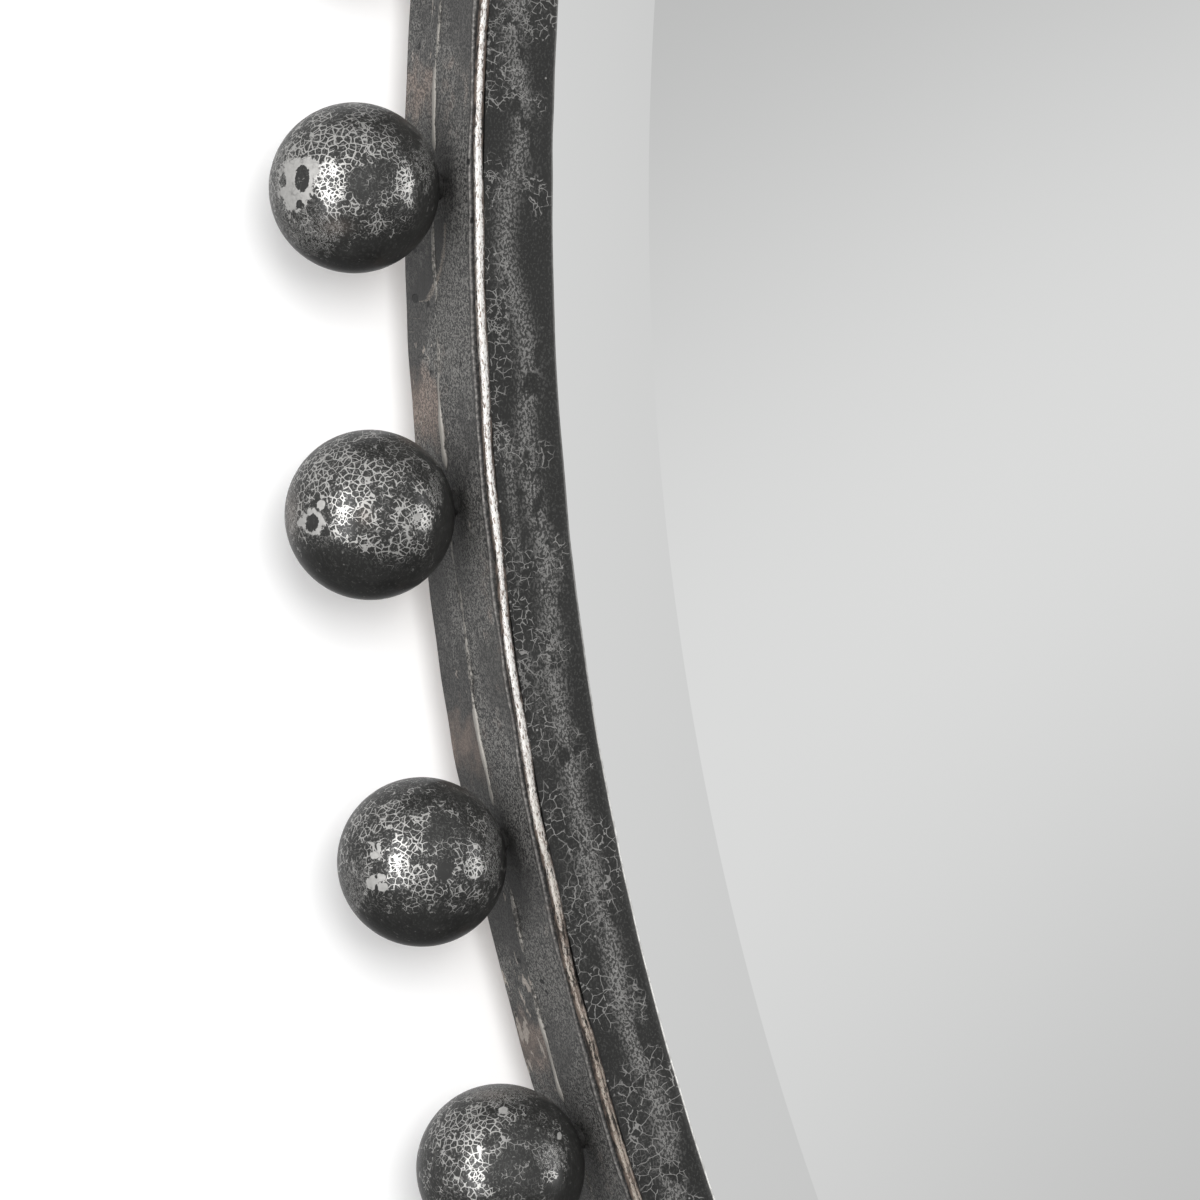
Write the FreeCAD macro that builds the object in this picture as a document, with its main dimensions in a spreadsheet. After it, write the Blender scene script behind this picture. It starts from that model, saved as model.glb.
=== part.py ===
import FreeCAD, Part
import math
import os
import re
import Sketcher

# Round wall mirror in a welded iron frame.
# A flat face ring holds a bevelled glass from the front. A deep side band, rolled from two strips that
# meet at a raised weld seam, stands behind it, and steel balls are welded all round the band.
# The ring's axis runs along Y. The front looks towards -Y, the wall is at +Y and Z is up.
# Depths are counted from the foremost crest of the edge bead towards the wall. The origin lies on the
# ring's axis, halfway between that crest and the plane on which the wall bumpers rest.

SIZES = {
    # Face ring and the round wire along its outer edge
    "opening_radius": 443.0,
    "face_width": 12.7,
    "face_thickness": 2.0,
    "face_edge_break": 0.4,
    "bead_diameter": 1.6,
    # Side band, from the face's front plane to the band's back edge
    "band_depth": 27.5,
    "band_thickness": 1.6,
    "band_edge_break": 0.35,
    "seam_behind_face": 15.7,
    "seam_width": 1.5,
    "seam_proud": 0.45,
    # Balls and the weld between each ball and the band
    "ball_count": 60,
    "ball_diameter": 25.4,
    "ball_gap": 0.7,
    "ball_behind_face": 14.0,
    "weld_throat_radius": 3.6,
    "weld_foot_radius": 4.6,
    "weld_to_seam": 0.3,
    # Tack welds between the face ring and the band, inside
    "tack_count": 24,
    "tack_leg": 1.2,
    "tack_length": 8.0,
    # Glass, its bevel and its silver coat
    "glass_thickness": 5.0,
    "glass_behind_face": 1.2,
    "glass_clearance": 2.1,
    "bevel_width": 25.0,
    "bevel_drop": 2.5,
    "coat_thickness": 0.2,
    "coat_margin": 1.0,
    # Gasket under the face ring, and the blocks that centre the glass
    "gasket_inset": 0.8,
    "gasket_margin": 1.0,
    "block_count": 6,
    "block_length": 30.0,
    # Backing board and the tabs bent over it
    "board_thickness": 3.0,
    "tab_count": 12,
    "tab_thickness": 1.0,
    "tab_width": 16.0,
    "tab_reach": 14.0,
    "tab_height": 9.0,
    # Hangers: a plate welded into the band, a sleeve welded on the plate, and a wire ring in the sleeve
    "hanger_angle": 35.0,
    "hanger_inset": 30.1,
    "hanger_inside_back": 3.5,
    "hanger_plate_width": 40.0,
    "hanger_plate_thickness": 2.0,
    "hanger_plate_drop": 5.0,
    "sleeve_diameter": 6.0,
    "sleeve_length": 14.0,
    "sleeve_weld_leg": 1.6,
    "ring_wire": 3.0,
    "ring_clearance": 0.1,
    "ring_opening_width": 24.0,
    "ring_opening_height": 21.0,
    "ring_corner_radius": 4.0,
    # Wall bumpers, pushed into plates welded inside the band
    "bumper_proud": 2.5,
    "bumper_head_diameter": 12.0,
    "bumper_head_height": 4.5,
    "bumper_edge_break": 1.0,
    "bumper_stem_diameter": 5.0,
    "bumper_stem_clearance": 0.05,
    "bumper_barb_diameter": 6.4,
    "bumper_barb_height": 2.2,
    "bumper_plate_width": 24.0,
    "bumper_plate_reach": 24.0,
    "bumper_plate_thickness": 2.0,
    # Spare length of a tool body past what it cuts
    "overrun": 20.0,
}

# The balls were set by hand. Each value moves a ball along the ring by that share of the even spacing,
# and the row of values repeats round the ring. The first ball is the one farthest left.
SPACING_SHARES = (-0.026, -0.033, 0.044, 0.031, -0.020, 0.012, 0.030, -0.040, 0.010, 0.035, -0.015, 0.020)

# Where the wall bumpers stand, in degrees from the top
BUMPER_ANGLES = (62.0, 150.0, 210.0, 298.0)

# Radii of the ring-shaped pieces
BAND_OUTER = "(opening_radius + face_width)"
BAND_INNER = "(opening_radius + face_width - band_thickness)"
BEAD_CIRCLE = "(opening_radius + face_width - bead_diameter / 2)"
GLASS_RADIUS = f"({BAND_INNER} - glass_clearance)"
BEVEL_LINE = f"({GLASS_RADIUS} - bevel_width)"
BALL_CIRCLE = f"({BAND_OUTER} + ball_gap + ball_diameter / 2)"

# Depths from the foremost crest towards the wall
FACE_FRONT = "(bead_diameter / 2)"
FACE_BACK = f"({FACE_FRONT} + face_thickness)"
SEAM = f"({FACE_FRONT} + seam_behind_face)"
BAND_BACK = f"({FACE_FRONT} + band_depth)"
BALL_PLANE = f"({FACE_FRONT} + ball_behind_face)"
GLASS_FRONT = f"({FACE_FRONT} + glass_behind_face)"
GLASS_EDGE_FRONT = f"({GLASS_FRONT} + bevel_drop)"
GLASS_BACK = f"({GLASS_FRONT} + glass_thickness)"
COAT_BACK = f"({GLASS_BACK} + coat_thickness)"
BOARD_BACK = f"({COAT_BACK} + board_thickness)"
HANGER_AXIS = f"({BAND_BACK} - hanger_inside_back)"
HANGER_PLATE_BACK = f"({HANGER_AXIS} - sleeve_diameter / 2)"
WALL = f"({BAND_BACK} + bumper_proud)"
BUMPER_SEAT = f"({WALL} - bumper_head_height)"
MIDDLE = f"({WALL} / 2)"

# A hanger's place across and up, and the size of its wire ring along the wire's centre
HANGER_ACROSS = f"(({BAND_INNER} - hanger_inset) * sin(hanger_angle))"
HANGER_UP = f"(({BAND_INNER} - hanger_inset) * cos(hanger_angle))"
RING_WIDTH = "(ring_opening_width + ring_wire)"
RING_HEIGHT = "(ring_opening_height + ring_wire)"

FULL_TURN = 360.0
HALF_TURN = FULL_TURN / 2
QUARTER_TURN = FULL_TURN / 4
X = FreeCAD.Vector(1, 0, 0)
Y = FreeCAD.Vector(0, 1, 0)
ORIGIN = FreeCAD.Vector(0, 0, 0)

# The sketcher's own numbers: -1 and -2 for its axes, and 1 to 3 for a curve's start, end and centre
HORIZONTAL_AXIS, VERTICAL_AXIS = range(-1, -3, -1)
START, END, CENTRE = range(1, 4)

doc = FreeCAD.newDocument("RoundMirror")
sheet = doc.addObject("Spreadsheet::Sheet", "Sizes")
for row, (alias, number) in enumerate(SIZES.items(), start=1):
    sheet.set(f"A{row}", alias)
    sheet.set(f"B{row}", str(number))
    sheet.setAlias(f"B{row}", alias)
doc.recompute()

nodes = {}


def bound(words):
    """Turns a sum written with the sheet's names into an expression that reads the sheet."""
    return re.sub(r"[a-z][a-z_]*", lambda name: name[0] if name[0] in ("sin", "cos") else "Sizes." + name[0], words)


def value(words):
    """What such a sum comes to now."""
    return float(sheet.evalExpression(bound(words)))


def from_middle(depth):
    """A depth from the foremost crest, as a place along Y."""
    return f"{depth} - {MIDDLE}"


def keep(node, thing):
    """Enters a finished sub-part under its name."""
    thing.Label = node
    nodes[node] = thing
    return thing


def set_place(thing, across=None, along=None, up=None):
    """Binds the given parts of an object's place to the sheet."""
    for axis, words in (("x", across), ("y", along), ("z", up)):
        if words is not None:
            thing.setExpression(f"Placement.Base.{axis}", bound(words))


def primitive(kind, name, **sizes):
    """Makes one Part primitive with its sizes bound to the sheet."""
    thing = doc.addObject(f"Part::{kind}", name)
    for key, words in sizes.items():
        thing.setExpression(key, bound(words))
    return thing


def combined(kind, name, base, tool):
    """Makes a Part boolean of two objects."""
    thing = doc.addObject(f"Part::{kind}", name)
    thing.Base = base
    thing.Tool = tool
    return thing


# Turned pieces: one sketch of radius against depth, turned round the ring's axis

def new_body(node):
    """Starts a body whose sketches count depth from the foremost crest."""
    body = doc.addObject("PartDesign::Body", node)
    set_place(body, along=f"0 - {MIDDLE}")
    return keep(node, body)


def new_sketch(body, name):
    """Starts a sketch on the body's own XY plane."""
    sketch = body.newObject("Sketcher::SketchObject", name)
    plane = [feature for feature in body.Origin.OriginFeatures if feature.Role == "XY_Plane"][0]
    sketch.AttachmentSupport = [(plane, "")]
    sketch.MapMode = "FlatFace"
    return sketch


def pin_down(sketch, curve, end, radius, depth):
    """Ties one point of a curve to its radius and depth."""
    for kind, axis, words in (("DistanceX", VERTICAL_AXIS, radius), ("DistanceY", HORIZONTAL_AXIS, depth)):
        reach = value(words)
        if reach == 0:
            sketch.addConstraint(Sketcher.Constraint("PointOnObject", curve, end, axis))
            continue
        tie = sketch.addConstraint(Sketcher.Constraint(kind, HORIZONTAL_AXIS, START, curve, end, reach))
        sketch.setExpression(f"Constraints[{tie}]", bound(words))


def draw_outline(sketch, corners):
    """Draws a closed outline through corners given as radius and depth."""
    places = [FreeCAD.Vector(value(radius), value(depth), 0) for radius, depth in corners]
    for start, end in zip(places, places[1:] + places[:1]):
        sketch.addGeometry(Part.LineSegment(start, end), False)
    for line in range(len(corners)):
        sketch.addConstraint(Sketcher.Constraint("Coincident", line, END, (line + 1) % len(corners), START))
    for line, (radius, depth) in enumerate(corners):
        pin_down(sketch, line, START, radius, depth)


def turn(body, sketch, angle=None):
    """Turns a sketch round the ring's axis, all the way or through an angle to both sides."""
    turned = body.newObject("PartDesign::Revolution", body.Name + "_turned")
    turned.Profile = sketch
    turned.ReferenceAxis = (sketch, ["V_Axis"])
    turned.Angle = FULL_TURN
    if angle is not None:
        turned.Midplane = True
        turned.setExpression("Angle", bound(angle))
    sketch.Visibility = False
    return turned


def turned_ring(node, corners):
    """Makes a whole ring or disc from its outline."""
    body = new_body(node)
    sketch = new_sketch(body, node + "_outline")
    draw_outline(sketch, corners)
    turn(body, sketch)


def turned_row(node, corners, angle, count):
    """Makes short lengths of a ring, spaced evenly round the axis."""
    body = new_body(node)
    sketch = new_sketch(body, node + "_outline")
    draw_outline(sketch, corners)
    first = turn(body, sketch, angle)
    doc.recompute()
    pattern = body.newObject("PartDesign::PolarPattern", node + "_row")
    pattern.Originals = [first]
    pattern.Axis = (sketch, ["V_Axis"])
    pattern.Angle = FULL_TURN
    pattern.setExpression("Occurrences", bound(count))
    body.Tip = pattern


def arc_angle(length, radius):
    """The angle in degrees that a length takes on a circle."""
    return f"({length} / {radius} * 180 / {math.pi})"


def face_ring():
    """Flat ring round the opening, with its edges broken and a step that seats the edge bead."""
    turned_ring("face_ring", [
        ("opening_radius + face_edge_break", FACE_FRONT),
        (f"{BAND_OUTER} - bead_diameter", FACE_FRONT),
        (f"{BAND_OUTER} - bead_diameter", "bead_diameter"),
        (BEAD_CIRCLE, "bead_diameter"),
        (BEAD_CIRCLE, FACE_BACK),
        ("opening_radius", FACE_BACK),
        ("opening_radius", f"{FACE_FRONT} + face_edge_break"),
    ])


def edge_bead():
    """Round wire along the face ring's outer edge."""
    body = new_body("edge_bead")
    sketch = new_sketch(body, "edge_bead_outline")
    centre = FreeCAD.Vector(value(BEAD_CIRCLE), value(FACE_FRONT), 0)
    sketch.addGeometry(Part.Circle(centre, FreeCAD.Vector(0, 0, 1), value("bead_diameter / 2")), False)
    pin_down(sketch, 0, CENTRE, BEAD_CIRCLE, FACE_FRONT)
    tie = sketch.addConstraint(Sketcher.Constraint("Radius", 0, value("bead_diameter / 2")))
    sketch.setExpression(f"Constraints[{tie}]", bound("bead_diameter / 2"))
    turn(body, sketch)


def bands():
    """The two rolled strips of the side band, edge to edge at the seam."""
    turned_ring("front_band", [
        (BAND_INNER, FACE_BACK),
        (f"{BAND_OUTER} - band_edge_break", FACE_BACK),
        (BAND_OUTER, f"{FACE_BACK} + band_edge_break"),
        (BAND_OUTER, SEAM),
        (BAND_INNER, SEAM),
    ])
    turned_ring("rear_band", [
        (BAND_INNER, SEAM),
        (BAND_OUTER, SEAM),
        (BAND_OUTER, f"{BAND_BACK} - band_edge_break"),
        (f"{BAND_OUTER} - band_edge_break", BAND_BACK),
        (BAND_INNER, BAND_BACK),
    ])


def glazing():
    """Bevelled glass, its silver coat, the gasket in front of it and the board behind it."""
    turned_ring("mirror_glass", [
        ("0", GLASS_FRONT),
        (BEVEL_LINE, GLASS_FRONT),
        (GLASS_RADIUS, GLASS_EDGE_FRONT),
        (GLASS_RADIUS, GLASS_BACK),
        ("0", GLASS_BACK),
    ])
    coat_radius = f"({GLASS_RADIUS} - coat_margin)"
    turned_ring("silver_coat", [
        ("0", GLASS_BACK),
        (coat_radius, GLASS_BACK),
        (coat_radius, COAT_BACK),
        ("0", COAT_BACK),
    ])
    turned_ring("backing_board", [
        ("0", COAT_BACK),
        (GLASS_RADIUS, COAT_BACK),
        (GLASS_RADIUS, BOARD_BACK),
        ("0", BOARD_BACK),
    ])
    inner = "(opening_radius + gasket_inset)"
    outer = f"({GLASS_RADIUS} - gasket_margin)"
    slope = "bevel_drop / bevel_width"
    turned_ring("glazing_gasket", [
        (inner, FACE_BACK),
        (outer, FACE_BACK),
        (outer, f"{GLASS_FRONT} + ({outer} - {BEVEL_LINE}) * {slope}"),
        (inner, f"{GLASS_FRONT} + ({inner} - {BEVEL_LINE}) * {slope}"),
    ])


def blocks_tabs_and_tacks():
    """Blocks that centre the glass, tabs bent over the board, and tack welds behind the face ring."""
    turned_row("setting_blocks", [
        (GLASS_RADIUS, GLASS_EDGE_FRONT),
        (BAND_INNER, GLASS_EDGE_FRONT),
        (BAND_INNER, GLASS_BACK),
        (GLASS_RADIUS, GLASS_BACK),
    ], arc_angle("block_length", BAND_INNER), "block_count")
    turned_row("retaining_tabs", [
        (f"{BAND_INNER} - tab_reach", BOARD_BACK),
        (BAND_INNER, BOARD_BACK),
        (BAND_INNER, f"{BOARD_BACK} + tab_height"),
        (f"{BAND_INNER} - tab_thickness", f"{BOARD_BACK} + tab_height"),
        (f"{BAND_INNER} - tab_thickness", f"{BOARD_BACK} + tab_thickness"),
        (f"{BAND_INNER} - tab_reach", f"{BOARD_BACK} + tab_thickness"),
    ], arc_angle("tab_width", BAND_INNER), "tab_count")
    turned_row("face_tacks", [
        (f"{BAND_INNER} - tack_leg", FACE_BACK),
        (BAND_INNER, FACE_BACK),
        (BAND_INNER, f"{FACE_BACK} + tack_leg"),
    ], arc_angle("tack_length", BAND_INNER), "tack_count")


# Balls and what joins them to the band

def ball_angle(ball):
    """A ball's angle in degrees: the first is farthest left, and the count runs downwards."""
    share = SPACING_SHARES[ball % len(SPACING_SHARES)]
    return f"({HALF_TURN} + ({ball} + {share}) * {FULL_TURN} / ball_count)"


def balls():
    """Solid steel balls, two to a node."""
    round_steel = []
    for ball in range(int(value("ball_count"))):
        steel = primitive("Sphere", f"ball_{ball + 1:02d}", Radius="ball_diameter / 2")
        angle = ball_angle(ball)
        set_place(steel, f"{BALL_CIRCLE} * cos({angle})", from_middle(BALL_PLANE), f"{BALL_CIRCLE} * sin({angle})")
        round_steel.append(steel)
    for pair, first in enumerate(range(0, len(round_steel), 2), start=1):
        both = doc.addObject("Part::Compound", f"pair_{pair:02d}")
        both.Links = round_steel[first:first + 2]
        keep(f"ball_pair_{pair:02d}", both)


def point(across, up):
    """A corner of a flat outline that is drawn in the XY plane."""
    return FreeCAD.Vector(across, up, 0)


def about_axis(shape, angle, depth):
    """A copy of a shape, moved to a depth and turned round the ring's axis, counter-clockwise from +X."""
    copy = shape.copy()
    copy.translate(Y * (value(depth) - value(MIDDLE)))
    copy.rotate(ORIGIN, Y, -angle)
    return copy


def group(node, shapes):
    """Enters loose solids under one name."""
    thing = doc.addObject("Part::Feature", node)
    thing.Shape = Part.makeCompound(shapes)
    keep(node, thing)


def weld_shape():
    """The fillet under one ball: it meets the band on a flat foot and the ball on the ball's own round."""
    band = value(BAND_OUTER)
    centre = value(BALL_CIRCLE)
    radius = value("ball_diameter / 2")
    throat = value("weld_throat_radius")
    foot = value("weld_foot_radius")
    reach = math.asin(throat / radius)
    top = point(centre - radius * math.cos(reach), throat)
    middle = point(centre - radius * math.cos(reach / 2), radius * math.sin(reach / 2))
    tip = point(centre - radius, 0)
    edges = [
        Part.LineSegment(point(band, 0), point(band, foot)).toShape(),
        Part.LineSegment(point(band, foot), top).toShape(),
        Part.Arc(top, middle, tip).toShape(),
        Part.LineSegment(tip, point(band, 0)).toShape(),
    ]
    return Part.Face(Part.Wire(edges)).revolve(ORIGIN, X, FULL_TURN)


def ball_welds():
    """One weld fillet under each ball."""
    weld = weld_shape()
    angles = [value(ball_angle(ball)) for ball in range(int(value("ball_count")))]
    group("ball_welds", [about_axis(weld, angle, BALL_PLANE) for angle in angles])


def seam_weld():
    """The raised weld where the band's two strips meet, in lengths that stop short of each ball's weld."""
    band = value(BAND_OUTER)
    half = value("seam_width / 2")
    low = point(band, -half)
    high = point(band, half)
    crest = point(band + value("seam_proud"), 0)
    section = Part.Face(Part.Wire([Part.Arc(low, crest, high).toShape(), Part.LineSegment(high, low).toShape()]))
    count = int(value("ball_count"))
    angles = [value(ball_angle(ball)) for ball in range(count)]
    margin = math.degrees(value("weld_foot_radius + weld_to_seam") / band)
    lengths = []
    for ball in range(count):
        start = angles[ball] + margin
        end = angles[(ball + 1) % count] - margin
        if end < start:
            end += FULL_TURN
        lengths.append(about_axis(section, start, SEAM).revolve(ORIGIN, Y, start - end))
    group("seam_weld", lengths)


# Hangers, seen from the front: the left one is at -X

def hanger(name, side):
    """One hanger: plate, sleeve and wire ring. The ring hangs straight down."""
    across = f"{side} * {HANGER_ACROSS}"
    axis = from_middle(HANGER_AXIS)

    blank = primitive("Box", f"plate_blank_{name}", Length="hanger_plate_width",
                      Width="hanger_plate_thickness", Height=BAND_INNER)
    set_place(blank, f"{across} - hanger_plate_width / 2",
              f"{from_middle(HANGER_PLATE_BACK)} - hanger_plate_thickness", f"{HANGER_UP} - hanger_plate_drop")
    limit = primitive("Cylinder", f"plate_limit_{name}", Radius=BAND_INNER, Height=BAND_BACK)
    limit.Placement = FreeCAD.Placement(ORIGIN, FreeCAD.Rotation(X, QUARTER_TURN))
    set_place(limit, along=from_middle(BAND_BACK))
    keep(f"hanger_plate_{name}", combined("Common", f"plate_{name}", blank, limit))

    tube = primitive("Cylinder", f"tube_{name}", Radius="sleeve_diameter / 2", Height="sleeve_length")
    bore = primitive("Cylinder", f"bore_{name}", Radius="ring_wire / 2 + ring_clearance", Height="sleeve_length")
    for part in (tube, bore):
        part.Placement = FreeCAD.Placement(ORIGIN, FreeCAD.Rotation(Y, QUARTER_TURN))
        set_place(part, f"{across} - sleeve_length / 2", axis, HANGER_UP)
    keep(f"ring_sleeve_{name}", combined("Cut", f"sleeve_{name}", tube, bore))

    keep(f"d_ring_{name}", wire_ring(name, across, axis))


def wire_ring(name, across, axis):
    """A D of round wire: a bar through the sleeve, two bends, two legs and a half circle."""
    half = f"({RING_WIDTH} / 2)"
    wire = "ring_wire / 2"
    bend = "ring_corner_radius"
    foot = f"({RING_HEIGHT} - {half})"

    bar = primitive("Cylinder", f"bar_{name}", Radius=wire, Height=f"{RING_WIDTH} - 2 * {bend}")
    bar.Placement = FreeCAD.Placement(ORIGIN, FreeCAD.Rotation(Y, QUARTER_TURN))
    set_place(bar, f"{across} - {half} + {bend}", axis, HANGER_UP)
    pieces = [bar]
    for side, start in ((-1, QUARTER_TURN), (1, 0.0)):
        leg = primitive("Cylinder", f"leg_{name}", Radius=wire, Height=f"{foot} - {bend}")
        set_place(leg, f"{across} + {side} * {half}", axis, f"{HANGER_UP} - {foot}")
        corner = primitive("Torus", f"bend_{name}", Radius1=bend, Radius2=wire)
        corner.Angle3 = QUARTER_TURN
        corner.Placement = standing_turn(start)
        set_place(corner, f"{across} + {side} * ({half} - {bend})", axis, f"{HANGER_UP} - {bend}")
        pieces += [leg, corner]
    bow = primitive("Torus", f"bow_{name}", Radius1=half, Radius2=wire)
    bow.Angle3 = HALF_TURN
    bow.Placement = standing_turn(HALF_TURN)
    set_place(bow, across, axis, f"{HANGER_UP} - {foot}")
    pieces.append(bow)
    whole = doc.addObject("Part::MultiFuse", f"wire_{name}")
    whole.Shapes = pieces
    whole.Refine = True
    return whole


def standing_turn(start):
    """Stands a torus upright in the XZ plane, with its sweep starting at an angle from +X towards +Z."""
    upright = FreeCAD.Rotation(X, QUARTER_TURN)
    return FreeCAD.Placement(ORIGIN, upright.multiply(FreeCAD.Rotation(FreeCAD.Vector(0, 0, 1), start)))


def sleeve_welds():
    """Weld fillets above and below each sleeve, between it and its plate."""
    radius = value("sleeve_diameter / 2")
    leg = value("sleeve_weld_leg")
    plate = value(HANGER_PLATE_BACK) - value(MIDDLE)
    length = value("sleeve_length")
    fillets = []
    for side in (-1, 1):
        start = side * value(HANGER_ACROSS) - length / 2
        up = value(HANGER_UP)
        centre = FreeCAD.Vector(start, plate + radius, up)
        for way in (-1, 1):
            corners = [
                FreeCAD.Vector(start, plate, up),
                FreeCAD.Vector(start, plate, up + way * (radius + leg)),
                FreeCAD.Vector(start, plate + radius, up + way * radius),
            ]
            wedge = Part.Face(Part.makePolygon(corners + corners[:1])).extrude(X * length)
            fillets.append(wedge.cut(Part.makeCylinder(radius, length, centre, X)))
    group("sleeve_welds", [fillet.Solids[0] for fillet in fillets])


# Wall bumpers and their plates

def from_top(degrees):
    """An angle counted clockwise from the top, as one counted counter-clockwise from +X."""
    return QUARTER_TURN - degrees


def bumpers():
    """Plates welded inside the band's back edge, each with a rubber bumper pushed through its hole."""
    outer = value(BAND_INNER)
    reach = value("bumper_plate_reach")
    thickness = value("bumper_plate_thickness")
    stem = value("bumper_stem_diameter / 2")
    sweep = math.degrees(value("bumper_plate_width") / outer)
    hole_place = FreeCAD.Vector(outer - reach / 2, -thickness - value("overrun"), 0)
    hole = Part.makeCylinder(stem + value("bumper_stem_clearance"), thickness + 2 * value("overrun"), hole_place, Y)
    flat = Part.Face(Part.makePolygon([
        point(outer - reach, -thickness),
        point(outer, -thickness),
        point(outer, 0),
        point(outer - reach, 0),
        point(outer - reach, -thickness),
    ]))
    flat.rotate(ORIGIN, Y, sweep / 2)
    plate = flat.revolve(ORIGIN, Y, -sweep).cut(hole).Solids[0]

    head = value("bumper_head_diameter / 2")
    edge = value("bumper_edge_break")
    height = value("bumper_head_height")
    barb = value("bumper_barb_diameter / 2")
    barb_end = -thickness - value("bumper_barb_height")
    rubber = Part.Face(Part.makePolygon([
        point(0, height),
        point(head - edge, height),
        point(head, height - edge),
        point(head, 0),
        point(stem, 0),
        point(stem, -thickness),
        point(barb, -thickness),
        point(stem, barb_end),
        point(0, barb_end),
        point(0, height),
    ])).revolve(ORIGIN, Y, FULL_TURN)
    rubber.translate(X * (outer - reach / 2))

    angles = [from_top(degrees) for degrees in BUMPER_ANGLES]
    group("bumper_plates", [about_axis(plate, angle, BUMPER_SEAT) for angle in angles])
    group("wall_bumpers", [about_axis(rubber, angle, BUMPER_SEAT) for angle in angles])


def check_and_write():
    """Stops on any failed object or bad shape, then writes one STEP file for each node."""
    doc.recompute()
    for thing in doc.Objects:
        if "Invalid" in thing.State or "Error" in thing.State:
            raise RuntimeError(f"{thing.Label} failed: {thing.State}")
    for node, thing in nodes.items():
        if thing.Shape.isNull() or not thing.Shape.isValid() or not thing.Shape.Solids:
            raise RuntimeError(f"{node} has no valid solid")
    os.makedirs("parts", exist_ok=True)
    for node, thing in nodes.items():
        thing.Shape.exportStep(f"parts/{node}.step")
    print(f"{len(nodes)} nodes, {sum(len(thing.Shape.Solids) for thing in nodes.values())} solids")


face_ring()
edge_bead()
bands()
glazing()
blocks_tabs_and_tacks()
balls()
ball_welds()
seam_weld()
hanger("left", -1)
hanger("right", 1)
sleeve_welds()
bumpers()
check_and_write()
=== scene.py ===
import math

import bpy
import numpy as np
from mathutils import Matrix, Vector


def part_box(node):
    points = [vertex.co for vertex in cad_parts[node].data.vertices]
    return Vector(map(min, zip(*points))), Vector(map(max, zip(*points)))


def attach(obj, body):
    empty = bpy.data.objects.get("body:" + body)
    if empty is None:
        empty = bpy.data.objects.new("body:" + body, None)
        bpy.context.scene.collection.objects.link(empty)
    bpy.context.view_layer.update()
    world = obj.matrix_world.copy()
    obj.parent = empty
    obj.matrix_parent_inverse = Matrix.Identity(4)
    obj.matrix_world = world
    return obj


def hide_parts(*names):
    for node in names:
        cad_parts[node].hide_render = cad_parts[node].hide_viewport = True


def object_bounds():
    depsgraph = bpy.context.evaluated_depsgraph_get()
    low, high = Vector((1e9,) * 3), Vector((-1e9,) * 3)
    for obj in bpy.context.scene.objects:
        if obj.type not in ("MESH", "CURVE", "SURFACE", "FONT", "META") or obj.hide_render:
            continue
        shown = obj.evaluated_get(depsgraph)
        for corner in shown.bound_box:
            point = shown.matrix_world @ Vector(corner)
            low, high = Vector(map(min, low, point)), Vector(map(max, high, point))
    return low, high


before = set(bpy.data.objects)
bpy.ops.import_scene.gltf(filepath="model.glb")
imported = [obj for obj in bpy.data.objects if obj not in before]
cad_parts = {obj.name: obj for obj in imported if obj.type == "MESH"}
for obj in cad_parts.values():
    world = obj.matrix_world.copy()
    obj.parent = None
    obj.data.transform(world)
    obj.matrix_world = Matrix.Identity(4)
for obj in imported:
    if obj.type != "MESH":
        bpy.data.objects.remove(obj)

bl_info = {
    "name": "Round Mirror in a Welded Frame",
    "version": (1, 0, 0),
    "blender": (4, 5, 0),
    "location": "3D View > Sidebar > Mirror",
    "description": "Dresses the round mirror: iron frame, crackle paint, bevelled glass and hanging gear",
    "category": "Object",
}

CAD_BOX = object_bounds()
FRAME_BODY = "mirror_frame"

MM = 0.001
FULL_TURN = 2 * math.pi

FACE_LOW, FACE_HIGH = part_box("face_ring")
BAND_LOW, BAND_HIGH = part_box("front_band")
REAR_LOW, REAR_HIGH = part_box("rear_band")
BEAD_LOW, BEAD_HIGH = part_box("edge_bead")
PAIR_LOW, PAIR_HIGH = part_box("ball_pair_01")
GLASS_LOW, GLASS_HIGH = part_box("mirror_glass")
PLATES_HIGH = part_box("bumper_plates")[1]

BALL_RADIUS = (PAIR_HIGH.y - PAIR_LOW.y) / 2
BALL_DEPTH = (PAIR_LOW.y + PAIR_HIGH.y) / 2
BALL_COUNT = 2 * sum(name.startswith("ball_pair_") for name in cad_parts)

# The balls were set by hand: each is off the even spacing by this share of it, and the row repeats
SPACING_SHARES = (-0.026, -0.033, 0.044, 0.031, -0.020, 0.012, 0.030, -0.040, 0.010, 0.035, -0.015, 0.020)

# The wall bumpers: where they stand, in degrees from the top, how far inside the band, their outline's radius
# and height over the plate, and the height of its two tips
BUMPER_ANGLES = (62.0, 150.0, 210.0, 298.0)
BUMPER_INSET = 12.0 * MM
BUMPER_PROFILE = np.array((
    (2.4, 4.38), (2.9, 4.5), (4.9, 4.5), (5.55, 4.3), (5.9, 3.85), (6.0, 3.3), (6.0, 0.25),
    (5.8, 0.0), (2.5, 0.0), (2.5, -2.0), (3.2, -2.05), (3.1, -2.5), (2.5, -4.1), (2.2, -4.2),
)) * MM
BUMPER_TIPS = (4.3 * MM, -4.2 * MM)

# The weld between a ball and the band: its outline's radius and height over the band, and its two tips
WELD_PROFILE = np.array((
    (2.0, -0.12), (1.85, 0.04), (1.75, 0.18), (1.65, 0.40), (1.6, 0.70), (1.6, 0.95),
)) * MM
WELD_TIPS = (-0.12 * MM, 0.90 * MM)

# The seam stops this far from a ball's middle, because the ball's weld is there
SEAM_MARGIN = 4.9 * MM

# The step in the face ring's front that seats the bead: its width, and its depth behind the bead's crest
FACE_STEP = 1.6 * MM

# The glass: its bevel's width and drop, and the ground edge
BEVEL_WIDTH = 25.0 * MM
BEVEL_DROP = 2.5 * MM
GLASS_EDGE = 0.2 * MM

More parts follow.
